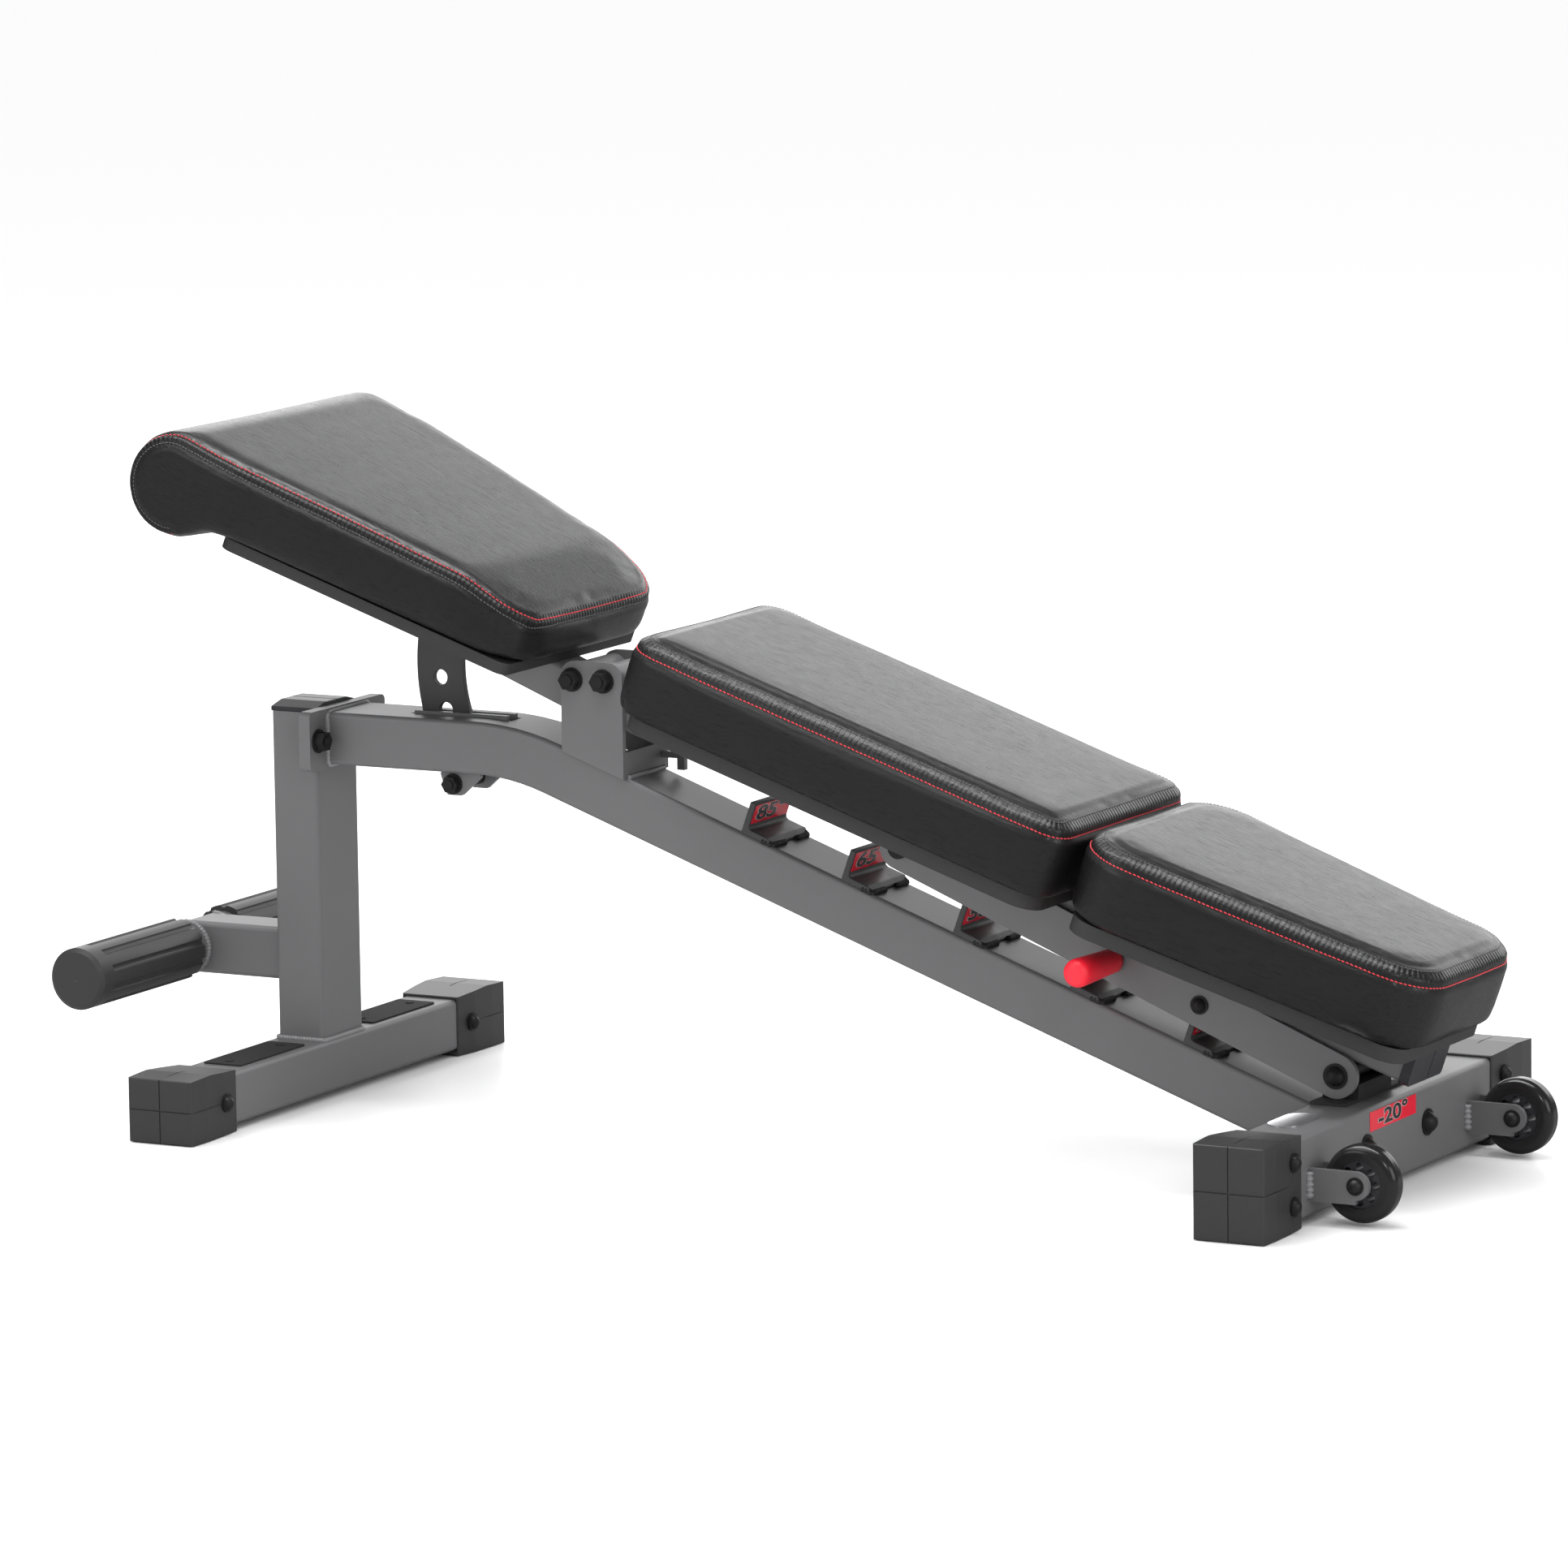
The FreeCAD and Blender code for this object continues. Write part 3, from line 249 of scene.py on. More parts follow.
def hard_finish(name, base, roughness, grain, depth, strength, wear_and_highlight, worn_and_highlight_colour, edge, patch, **sockets):
    """A moulded or coated surface: mottled colour, fine grain, softened edges and paler rubbed corners, which on
    the rubber parts are also a painted highlight.
    """
    tree, shader, place = blank(name, **sockets)
    tint = mottled(tree, noise_of(tree, place, 14.0, 4.0), base, 1 - patch, 1 + patch)
    speck = noise_of(tree, place, grain * 1.7, 2.0)
    tint = mixed(tree, spread(tree, speck, 0.0, 0.22), tint, shade(base, 1.7))
    rubbed, soft = worn_edges(tree, place, edge)
    # The paler rubbed edges are wear, and on the rubber parts also a painted highlight along their edges.
    if wear_and_highlight:
        tint = mixed(tree, arithmetic(tree, "MULTIPLY", rubbed, wear_and_highlight), tint, worn_and_highlight_colour)
    rough = spread(tree, noise_of(tree, place, 38.0, 5.0), roughness - 0.06, roughness + 0.07)
    link_up(tree, shader, tint, rough, bumped(tree, noise_of(tree, place, grain), strength, depth, soft))


def vinyl_finish(name, base, slope):
    """Embossed upholstery vinyl: short drawn grain along the pad, fine pores, and puckers beside its seams."""
    tree, shader, place = blank(name, IOR=1.47, Coat_Weight=0.22, Coat_Roughness=0.16)
    level = stretched(tree, place, turn=(0, radians(-slope), 0))
    swirl = add(tree, "ShaderNodeTexNoise", {"Vector": level, "Scale": 9.0, "Detail": 2.0}).outputs["Color"]
    sway = {0: swirl, 1: (0.02, 0.02, 0.02), 2: level}
    bent = add(tree, "ShaderNodeVectorMath", sway, operation="MULTIPLY_ADD").outputs["Vector"]
    streak = noise_of(tree, stretched(tree, bent, GRAIN_SCALE), 1.0, 4.0, 0.62, 0.6)
    line = spread(tree, streak, 0.0, 1.0, 0.34, 0.50)
    fold = noise_of(tree, stretched(tree, bent, CREASE_SCALE), 1.0, 5.0, 0.68, 1.2)
    crease = spread(tree, fold, 0.0, 1.0, 0.30, 0.46)
    pores = add(tree, "ShaderNodeTexVoronoi", {"Vector": level, "Scale": PORE_SCALE}).outputs["Distance"]
    tint = mottled(tree, noise_of(tree, level, 7.0), base, 0.9, 1.1)
    tint = mixed(tree, arithmetic(tree, "SUBTRACT", 1.0, line), tint, shade(base, 0.50))
    dull = arithmetic(tree, "MULTIPLY_ADD", line, -0.08, 0.46)
    rough = arithmetic(tree, "ADD", dull, spread(tree, noise_of(tree, level, 60.0, 4.0), -0.02, 0.02))
    run = add(tree, "ShaderNodeAttribute", attribute_name="seam_run").outputs["Fac"]
    gap = add(tree, "ShaderNodeAttribute", attribute_name="seam_gap").outputs["Fac"]
    wave = arithmetic(tree, "SINE", arithmetic(tree, "MULTIPLY", run, 2 * pi / PUCKER_PITCH))
    pucker = arithmetic(tree, "MULTIPLY", wave, spread(tree, gap, 1.0, 0.0, *PUCKER_REACH))
    normal = bumped(tree, line, 0.45, 0.00036)
    normal = bumped(tree, crease, 0.20, 0.00026, normal)
    normal = bumped(tree, pores, 0.25, 0.0001, normal)
    link_up(tree, shader, tint, rough, bumped(tree, pucker, 0.8, 0.0005, normal))


def thread_finish(name, base):
    """Twisted sewing thread."""
    tree, shader, place = blank(name, Sheen_Weight=0.25, Sheen_Roughness=0.4)
    twist = noise_of(tree, place, 1900.0)
    tint = mottled(tree, twist, base, 0.65, 1.2)
    rough = spread(tree, noise_of(tree, place, 300.0), 0.5, 0.7)
    link_up(tree, shader, tint, rough, bumped(tree, twist, 0.4, 0.0001))


def grit_finish(name, base, mineral_and_glint):
    """Coarse anti-slip tape: dark binder with pale grains, whose pale colour is partly their own and partly a
    painted glint.
    """
    tree, shader, place = blank(name)
    grains = add(tree, "ShaderNodeTexVoronoi", {"Vector": place, "Scale": 620.0, "Randomness": 1.0})
    bright = add(tree, "ShaderNodeSeparateColor", {"Color": grains.outputs["Color"]}).outputs[0]
    # Painted glint: the grains are painted pale, partly their own colour and partly the sparkle that they catch
    # from the lights.
    glint = spread(tree, bright, 0.0, 1.0, 0.78, 0.95)
    tint = mixed(tree, glint, mottled(tree, noise_of(tree, place, 40.0, 4.0), base, 0.7, 1.4), mineral_and_glint)
    rough = spread(tree, glint, 0.75, 0.28, 0, 1)
    link_up(tree, shader, tint, rough, bumped(tree, grains.outputs["Distance"], 0.9, 0.0006))


def brushed_finish(name, base, roughness, stretch, scratch):
    """Bright metal with long fine scratches and a few deep ones."""
    tree, shader, place = blank(name, Metallic=1.0)
    drawn = stretched(tree, place, stretch, (0, 0, 0.5))
    hair = noise_of(tree, drawn, 1.0, 5.0, 0.7)
    deep = spread(tree, noise_of(tree, drawn, 0.35, 2.0), 0.0, 1.0, 0.60, 0.66)
    tint = mixed(tree, deep, base, shade(base, 0.35))
    tint = mixed(tree, spread(tree, hair, 0, 0.4), tint, shade(base, 0.7))
    rough = spread(tree, hair, roughness - 0.08, roughness + 0.14)
    link_up(tree, shader, tint, rough, bumped(tree, hair, scratch, 0.0001))


def grip_finish(name, base, vent_shade):
    """Bright soft rubber, with painted shade as a dark spot at the vent in its rounded end."""
    tree, shader, place = blank(name, IOR=1.45, Subsurface_Weight=0.15, Subsurface_Scale=0.004)
    low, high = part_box("handle_grip")
    vent = Vector(((low.x + high.x) / 2, low.y, (low.z + high.z) / 2))
    away = add(tree, "ShaderNodeVectorMath", {0: place, 1: vent}, operation="DISTANCE").outputs["Value"]
    # Painted shade: a near-black spot at the vent's place on the rounded end, for the shade down the vent.
    vent_shade_mask = spread(tree, away, 1.0, 0.0, 0.0012, 0.0019)
    tint = mixed(tree, vent_shade_mask, mottled(tree, noise_of(tree, place, 60.0, 4.0), base, 0.86, 1.1), vent_shade)
    rough = spread(tree, noise_of(tree, place, 90.0), 0.34, 0.50)
    link_up(tree, shader, tint, rough, bumped(tree, noise_of(tree, place, 420.0, 4.0), 0.3, 0.0003))


def label_finish(name, base):
    """A printed foil label, slightly satin, with a paler rubbed border."""
    tree, shader, place = blank(name, Coat_Weight=0.3, Coat_Roughness=0.15)
    rubbed, soft = worn_edges(tree, place, 0.0006)
    tint = mottled(tree, noise_of(tree, place, 90.0, 4.0), base, 0.85, 1.15)
    tint = mixed(tree, rubbed, tint, shade(base, 1.6))
    rough = spread(tree, noise_of(tree, place, 260.0), 0.34, 0.48)
    link_up(tree, shader, tint, rough, bumped(tree, noise_of(tree, place, 900.0), 0.2, 0.0001, soft))


def pairs(*names):
    """The right and left node of each name."""
    return tuple(f"{name}_{side}" for name in names for side in ("right", "left"))


CATCH_NODES = tuple(f"catch_{angle}" for angle in CATCHES)
FINISHED_NODES = {
    "frame_paint": ("main_beam", "beam_flanges", "post_flange", "front_post", "front_base_tube", "rear_base_tube",
                    "foothold_tube", "foothold_crossbar", "arc_guides", "tower_brace", "wheel_forks",
                    "lock_housing", "back_tube", "back_sleeve", "handle_rod", "seat_tube", "seat_sleeve",
                    *pairs("tower_plate", "strut_arm")),
    # The catches and the arc plate take the frame's grey paint darkened: painted shade, for the same paint lying
    # in shade.
    "catch_paint": ("arc_plate", *CATCH_NODES),
    "black_rubber": pairs("foot_cap_front", "foot_cap_rear", "foothold_grip"),
    "black_steel": ("foot_cap_bolts", "frame_bolts", "pivot_bolts", "wheel_axles", "strut_bars",
                    "strut_pivot_bolt"),
    "black_plastic": ("post_cap", "back_end_cap", "lock_knob", *pairs("hub")),
    "grip_tape": ("rear_rest", *pairs("tread_plate")),
    # The boards under the pads are painted near-black: painted shade, for the shadow beneath the cushions.
    "board": ("mid_board", "head_board", "seat_board"),
    "tyre": pairs("tyre"),
    "label_red": ("angle_labels",),
    "badge_chrome": ("badge_plate",),
    "red_rubber": ("handle_grip",),
    "zinc_steel": ("lock_pin",),
}
PAD_NODES = {"mid_pad", "mid_pad_heel", "head_pad", "seat_pad"}
ROUNDED_NODES = ("post_cap", "back_end_cap", *CATCH_NODES)
ROUNDING = 1.2 * MM


def soften(node, width):
    """Small real radii on a part's sharp edges."""
    weld = node.modifiers.new("Weld", "WELD")
    weld.merge_threshold = 0.00001
    bevel = node.modifiers.new("Bevel", "BEVEL")
    bevel.width = width
    bevel.segments = 3
    bevel.limit_method = "ANGLE"
    bevel.angle_limit = radians(32)
    bevel.harden_normals = True


def make_finishes(finish):
    """Makes every finish of the bench but its vinyl."""
    paint, plastic = finish.paint, finish.plastic
    pale = (0.10, 0.10, 0.10)
    hard_finish("frame_paint", paint, 0.44, grain=1300, depth=0.00008, strength=0.25, wear_and_highlight=0.25,
                worn_and_highlight_colour=(0.26, 0.26, 0.27), edge=0.0011, patch=0.05, Metallic=0.25)
    # Painted shade: the frame paint at 0.42 of its brightness, a shaded copy for the catches and the arc plate.
    hard_finish("catch_paint", shade(paint, 0.42), 0.46, grain=900, depth=0.00012, strength=0.4, wear_and_highlight=0,
                worn_and_highlight_colour=pale, edge=0.0012, patch=0.12, Metallic=0.25)
    # Painted highlight: the rubber parts' paler edges stand partly for wear and partly for the thin highlight
    # along their edges.
    hard_finish("black_rubber", finish.rubber, 0.60, grain=1100, depth=0.00014, strength=0.45, wear_and_highlight=0.45,
                worn_and_highlight_colour=pale, edge=0.0034, patch=0.12, Specular_IOR_Level=0.35)
    hard_finish("black_steel", finish.steel, 0.14, grain=300, depth=0.00004, strength=0.15, wear_and_highlight=0.25,
                worn_and_highlight_colour=(0.10, 0.10, 0.11), edge=0.0006, patch=0.2, Metallic=0.2, Coat_Weight=0.5,
                Coat_Roughness=0.08)
    hard_finish("black_plastic", plastic, 0.40, grain=900, depth=0.00012, strength=0.35, wear_and_highlight=0.35,
                worn_and_highlight_colour=pale, edge=0.0008, patch=0.12, Specular_IOR_Level=0.35)
    # Painted shade: the board's colour, a quarter of the black plastic's, stands for the shadow under the pads.
    hard_finish("board", shade(plastic, 0.25), 0.62, grain=800, depth=0.00012, strength=0.3, wear_and_highlight=0.2,
                worn_and_highlight_colour=(0.03, 0.03, 0.03), edge=0.0020, patch=0.12, Specular_IOR_Level=0.15)
    hard_finish("tyre", (0.006, 0.006, 0.007), 0.14, grain=120, depth=0.00003, strength=0.15, wear_and_highlight=0,
                worn_and_highlight_colour=pale, edge=0.0040, patch=0.2, Coat_Weight=0.6, Coat_Roughness=0.05)
    # The weld beads are painted lighter than the frame paint: a painted highlight on their ripples.
    hard_finish("weld_bead", shade(paint, 1.9), 0.42, grain=900, depth=0.0003, strength=0.6, wear_and_highlight=0.4,
                worn_and_highlight_colour=(0.5, 0.5, 0.5), edge=0.0006, patch=0.15, Metallic=0.35)
    hard_finish("dark_weld", shade(paint, 0.16), 0.48, grain=700, depth=0.0004, strength=0.7, wear_and_highlight=0.3,
                worn_and_highlight_colour=(0.12, 0.12, 0.12), edge=0.0006, patch=0.25, Metallic=0.2)
    grit_finish("grip_tape", (0.050, 0.050, 0.052), mineral_and_glint=(0.42, 0.42, 0.43))
    brushed_finish("badge_chrome", (0.30, 0.30, 0.31), 0.26, stretch=(60, 500, 400), scratch=0.5)
    brushed_finish("zinc_steel", (0.55, 0.56, 0.58), 0.30, stretch=(900, 60, 900), scratch=0.3)
    # The dark colour at the grip's vent is painted shade.
    grip_finish("red_rubber", finish.red, vent_shade=(0.03, 0.002, 0.003))
    label_finish("label_red", finish.label)
    label_finish("digits", finish.digits)
    label_finish("digit_outline", finish.outline)
    thread_finish("red_thread", finish.red_thread)
    thread_finish("grey_thread", finish.grey_thread)


def use(piece, name):
    """Gives a piece one of the bench's finishes and nothing else."""
    piece.data.materials.clear()
    piece.data.materials.append(bpy.data.materials[name])


# ---------------------------------------------------------------- mesh tools


def face_outward(mesh):
    """Turns every face of a closed mesh outward."""
    bm = bmesh.new()
    bm.from_mesh(mesh)
    bmesh.ops.recalc_face_normals(bm, faces=bm.faces)
    bm.to_mesh(mesh)
    bm.free()


def to_piece(name, vertices, faces, finish, body, slot):
    """A mesh piece from points in metres in the row frame, riding on a body."""
    mesh = bpy.data.meshes.new(name)
    mesh.from_pydata([tuple(v) for v in vertices], [], faces)
    mesh.validate()
    face_outward(mesh)
    mesh.polygons.foreach_set("use_smooth", [True] * len(mesh.polygons))
    piece = bpy.data.objects.new(name, mesh)
    bpy.context.scene.collection.objects.link(piece)
    use(piece, finish)
    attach(piece, body)
    return piece


def evenly(points, spacing, closed=True):
    """Points at an even spacing along a line."""
    line = np.array([tuple(p) for p in points] + ([tuple(points[0])] if closed else []), float)
    steps = np.linalg.norm(np.diff(line, axis=0), axis=1)
    run = np.concatenate([[0], np.cumsum(steps)])
    count = max(3, round(run[-1] / spacing))
    at = np.linspace(0, run[-1], count + 1)[: count if closed else count + 1]
    return [Vector([np.interp(s, run, line[:, axis]) for axis in range(line.shape[1])]) for s in at]


def inset_corners(corners, distance):
    """A convex polygon's corners moved inward by the same distance from each side."""
    moved = []
    for index, corner in enumerate(corners):
        before = (corner - corners[index - 1]).normalized()
        after = (corners[(index + 1) % len(corners)] - corner).normalized()
        first = Vector((-before.y, before.x))
        second = Vector((-after.y, after.x))
        moved.append(corner + (first + second) * distance / (1 + first.dot(second)))
    return moved


def round_corners(corners, radii, steps=8):
    """The outline of a convex polygon with an arc at each corner."""
    outline = []
    for index, corner in enumerate(corners):
        back = (corners[index - 1] - corner).normalized()
        ahead = (corners[(index + 1) % len(corners)] - corner).normalized()
        half = back.angle(ahead) / 2
        radius = radii[index]
        middle = corner + (back + ahead).normalized() * radius / sin(half)
        start = corner + back * radius / tan(half) - middle
        end = corner + ahead * radius / tan(half) - middle
        sweep = start.angle_signed(end)
        outline += [middle + Matrix.Rotation(-sweep * step / steps, 2) @ start for step in range(steps + 1)]
    return outline


def lofted(rings):
    """Vertices and faces of a closed form through equal rings, capped at both ends."""
    count = len(rings[0])
    vertices = [v for ring in rings for v in ring]
    faces = []
    for level in range(len(rings) - 1):
        for i in range(count):
            j = (i + 1) % count
            low, high = level * count, (level + 1) * count
            faces.append((low + i, low + j, high + j, high + i))
    faces.append(tuple(reversed(range(count))))
    faces.append(tuple(range((len(rings) - 1) * count, len(rings) * count)))
    return vertices, faces


def swept(points, radius_at, closed=False, sides=8):
    """A tube along points in metres, with its radius at each distance from radius_at."""
    rings = []
    run = 0.0
    count = len(points)
    upright = None
    for index, point in enumerate(points):
        before = points[index - 1] if closed or index else point
        after = points[(index + 1) % count] if closed or index < count - 1 else point
        along = (after - before).normalized()
        if upright is None:
            upright = along.orthogonal().normalized()
        upright = (upright - along * upright.dot(along)).normalized()
        across = along.cross(upright)
        radius = radius_at(run)
        turns = [2 * pi * k / sides for k in range(sides)]
        rings.append([point + (upright * cos(turn) + across * sin(turn)) * radius for turn in turns])
        run += (after - point).length
    vertices, faces = lofted(rings)
    if closed:
        faces = faces[:-2]
        last = (count - 1) * sides
        faces += [(last + k, last + (k + 1) % sides, (k + 1) % sides, k) for k in range(sides)]
    return vertices, faces


def joined(parts):
    """Several vertex and face lists as one."""
    vertices, faces = [], []
    for some_vertices, some_faces in parts:
        shift = len(vertices)
        vertices += some_vertices
        faces += [tuple(v + shift for v in face) for face in some_faces]
    return vertices, faces


# ---------------------------------------------------------------- pads


def smoothed(piece, name, iterations):
    """Evens out a mesh in place."""
    smooth = piece.modifiers.new(name, "SMOOTH")
    smooth.factor = 0.5
    smooth.iterations = iterations
    bpy.ops.object.modifier_apply(modifier=name)


def filled(name, vertices, faces, place, pads, pinned):
    """A cushion: its sewn form remeshed, filled as cloth with its underside held, settled and refined."""
    mesh = bpy.data.meshes.new(name)
    mesh.from_pydata([tuple(place @ v) for v in vertices], [], faces)
    face_outward(mesh)
    piece = bpy.data.objects.new(name, mesh)
    bpy.context.scene.collection.objects.link(piece)
    bpy.context.view_layer.objects.active = piece
    piece.select_set(True)
    remesh = piece.modifiers.new("Remesh", "REMESH")
    remesh.mode = "VOXEL"
    remesh.voxel_size = pads.voxel
    bpy.ops.object.modifier_apply(modifier="Remesh")
    smoothed(piece, "Smooth", 6)
    back = place.inverted()
    rest = np.array([v.co for v in piece.data.vertices], float)
    held = piece.vertex_groups.new(name="held")
    for index, point in enumerate(rest):
        local = back @ Vector(point)
        if pinned(local):
            held.add([index], 1.0, "REPLACE")
    blow_up(piece, pads, held.name)
    now = np.array([v.co for v in piece.data.vertices], float)
    moved = now - rest
    far = np.linalg.norm(moved, axis=1)
    scale = np.minimum(1.0, pads.swell / np.maximum(far, 1e-9))
    piece.data.vertices.foreach_set("co", (rest + moved * scale[:, None]).ravel())
    piece.vertex_groups.clear()
    smoothed(piece, "Settle", 5)
    divide = piece.modifiers.new("Subdivision", "SUBSURF")
    divide.levels = 1
    bpy.ops.object.modifier_apply(modifier="Subdivision")
    piece.data.polygons.foreach_set("use_smooth", [True] * len(piece.data.polygons))
    piece.select_set(False)
    return piece


def blow_up(piece, pads, held):
    """Fills a closed cloth with air for a few frames and keeps the shape."""
    cloth = piece.modifiers.new("Cloth", "CLOTH")
    settings = cloth.settings
    settings.quality = 5
    settings.mass = 0.4
    settings.tension_stiffness = 30
    settings.compression_stiffness = 30
    settings.shear_stiffness = 12
    settings.bending_stiffness = 2.0
    settings.use_pressure = True
    settings.uniform_pressure_force = pads.pressure
    settings.effector_weights.gravity = 0
    settings.vertex_group_mass = held
    cloth.collision_settings.use_collision = False
    cloth.point_cache.frame_start = 1
    cloth.point_cache.frame_end = pads.frames
    for number in range(1, pads.frames + 1):
        bpy.context.scene.frame_set(number)
    bpy.ops.object.modifier_apply(modifier="Cloth")
    bpy.context.scene.frame_set(1)


def surface_of(piece):
    return BVHTree.FromObject(piece, bpy.context.evaluated_depsgraph_get())


def on_surface(tree, points):
    """The nearest places on a surface and its normals there."""
    found = [tree.find_nearest(p) for p in points]
    return [f[0] for f in found], [f[1] for f in found]


def nearby(points):
    """A search tree of points."""
    tree = KDTree(len(points))
    for index, point in enumerate(points):
        tree.insert(point, index)
    tree.balance()
    return tree


def draw_in(piece, seams, depth, width):
    """Pulls the vinyl in along each seam, and lets it bulge a little between them."""
    coordinates = np.array([v.co for v in piece.data.vertices], float)
    normals = np.array([v.normal for v in piece.data.vertices], float)
    shift = np.zeros(len(coordinates))
    for seam, share in seams:
        tree = nearby(seam)
        gaps = np.array([tree.find(c)[2] for c in coordinates])
        shift -= depth * share * np.exp(-((gaps / width) ** 2))
        shift += depth * share * 0.30 * np.exp(-(((gaps - 2.4 * width) / width) ** 2))
    piece.data.vertices.foreach_set("co", (coordinates + normals * shift[:, None]).ravel())
    piece.data.update()


def mark_seam(piece, seam):
    """Keeps each vertex's distance from a seam and its place along it, for the puckers."""
    tree = nearby(seam)
    steps = [0.0]
    for index in range(1, len(seam)):
        steps.append(steps[-1] + (seam[index] - seam[index - 1]).length)
    run = piece.data.attributes.new("seam_run", "FLOAT", "POINT")
    gap = piece.data.attributes.new("seam_gap", "FLOAT", "POINT")
    found = [tree.find(v.co) for v in piece.data.vertices]
    run.data.foreach_set("value", [steps[f[1]] for f in found])
    gap.data.foreach_set("value", [f[2] for f in found])


STITCH_PROFILE = ((-0.5, 0.35, -0.5), (-0.38, 0.85, 0.2), (-0.15, 1.0, 0.55),
                  (0.15, 1.0, 0.55), (0.38, 0.85, 0.2), (0.5, 0.35, -0.5))


def stitches(name, tree, seam, pads, finish, body, closed=True, scale=1.0):
    """A row of separate thread stitches lying on a surface along a seam."""
    pitch = (pads.stitch + pads.stitch_gap) * scale
    places, normals = on_surface(tree, evenly(seam, pitch, closed))
    parts = []
    count = len(places)
    for index in range(count if closed else count - 1):
        here, ahead = places[index], places[(index + 1) % count]
        along = (ahead - here).normalized()
        out = normals[index]
        out = (out - along * out.dot(along)).normalized()
        across = along.cross(out)
        middle = here + along * pitch / 2
        radius = pads.thread * scale
        rings = []
        for reach, thick, lift in STITCH_PROFILE:
            lean = across * reach * radius * 0.9
            centre = middle + along * reach * pads.stitch * scale + out * lift * radius + lean
            turns = [pi * k / 3 for k in range(6)]
            rings.append([centre + (across * cos(turn) + out * sin(turn)) * radius * thick for turn in turns])
        parts.append(lofted(rings))
    vertices, faces = joined(parts)
    return to_piece(name, vertices, faces, finish, body, "black_vinyl")


PAD_LEVELS = ((7.9, 7.0), (9.6, 3.6), (13.0, 1.6), (24.0, 0.6), (50.0, 0.0), (66.0, 0.3), (71.0, 0.8),
              (75.0, 2.0), (79.5, 5.2), (82.6, 9.6), (84.6, 15.0), (85.6, 24.0), (86.2, 45.0), (86.5, 90.0))
SIDE_SEAM, EDGE_SEAM, PUCKER_BAND, GREY_ROW = (72.0, 0.0), (85.4, 20.0), (81.0, 7.0), (83.6, 12.5)


def sewn(piece, finish, body, stands_for):
    """Gives a finished cushion its vinyl, its body and the parts that it stands for."""
    use(piece, finish)
    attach(piece, body)
    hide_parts(*stands_for)


def back_pad(name, start, end, wide, narrow, radii, pads, stands_for):
    """A pad of the backrest: its sewn form, its filling, its seams and its stitching."""
    corners = [Vector((start, -wide / 2)), Vector((end, -narrow / 2)),
               Vector((end, narrow / 2)), Vector((start, wide / 2))]

    def outline(height, inset):
        """The pad's outline at a height, moved inward."""
        inner = round_corners(inset_corners(corners, inset), [max(r - inset, 5) for r in radii])
        return [Vector((p.x, p.y, height)) for p in inner]

    def seam(height, inset):
        return [BACK @ p for p in evenly(outline(height, inset), 1.0)]

    vertices, faces = lofted([outline(*level) for level in PAD_LEVELS])
    piece = filled(name, vertices, faces, BACK, pads, lambda p: p.z < 10.5)
    tree = surface_of(piece)
    side, edge = on_surface(tree, seam(*SIDE_SEAM))[0], on_surface(tree, seam(*EDGE_SEAM))[0]
    draw_in(piece, ((side, 0.7), (edge, 0.45)), pads.seam_depth, pads.seam_width)
    mark_seam(piece, on_surface(tree, seam(*PUCKER_BAND))[0])
    sewn(piece, "back_vinyl", "backrest", stands_for)
    tree = surface_of(piece)
    red = stitches(f"{name}_red_stitching", tree, side, pads, "red_thread", "backrest")
    beside = on_surface(tree, seam(*GREY_ROW))[0]
    grey = stitches(f"{name}_grey_stitching", tree, beside, pads, "grey_thread", "backrest", scale=0.85)
    return piece, red, grey


ROLL_ALONG, ROLL_UP, ROLL_RADIUS, ROLL_SPAN = -396.0, 39.0, 51.0, 60
SEAT_END, SEAT_HALF, ROLL_HALF, SEAT_CORNER = -17.0, 138.0, 190.0, 46.0


def roll_arc(radius, angles):
    """Points round the seat's roll, in the seat's frame."""
    turns = [radians(a) for a in angles]
    return [Vector((ROLL_ALONG + radius * cos(turn), ROLL_UP + radius * sin(turn))) for turn in turns]


def seat_side(top_only=False):
    """The seat pad's side view in its own frame: the top, the sloping end, the underside and the roll."""
    top = ((ROLL_ALONG - 6, ROLL_UP + ROLL_RADIUS - 0.4), (-330, 88.4), (-240, 86.2), (-150, 83.0),
           (-104, 81.0), (-92, 80.0), (-80, 77.4), (-50, 70.0), (-30, 64.6), (-22, 61.4), (SEAT_END, 54.0))
    under = ((SEAT_END, 24.0), (SEAT_END - 1.5, 18.0), (SEAT_END - 6, 14.8), (-60, 14.2),
             (-300, 14.2), (-334, 13.6), (-348, 10.0), (-360, 2.6))
    if top_only:
        return [Vector(p) for p in top]
    return [Vector(p) for p in top + under] + roll_arc(ROLL_RADIUS, range(300, 95, -6))


def seat_half_width(along):
    """Half the seat pad's width: widest at the roll, narrower and rounded towards the backrest."""
    widest = ROLL_HALF - 1.5
    past_roll = along - ROLL_ALONG - ROLL_SPAN
    if past_roll < 0:
        return widest
    straight = widest + (SEAT_HALF - widest) * past_roll / (SEAT_END - ROLL_ALONG - ROLL_SPAN)
    past = along - (SEAT_END - SEAT_CORNER)
    if past > 0:
        straight -= SEAT_CORNER - sqrt(max(0.0, SEAT_CORNER ** 2 - past ** 2))
    return straight


def inset_line(points, distance):
    """A closed line moved inward, by its own normals."""
    moved = []
    for index, point in enumerate(points):
        along = (points[(index + 1) % len(points)] - points[index - 1]).normalized()
        moved.append(point + Vector((along.y, -along.x)) * distance)
    return moved


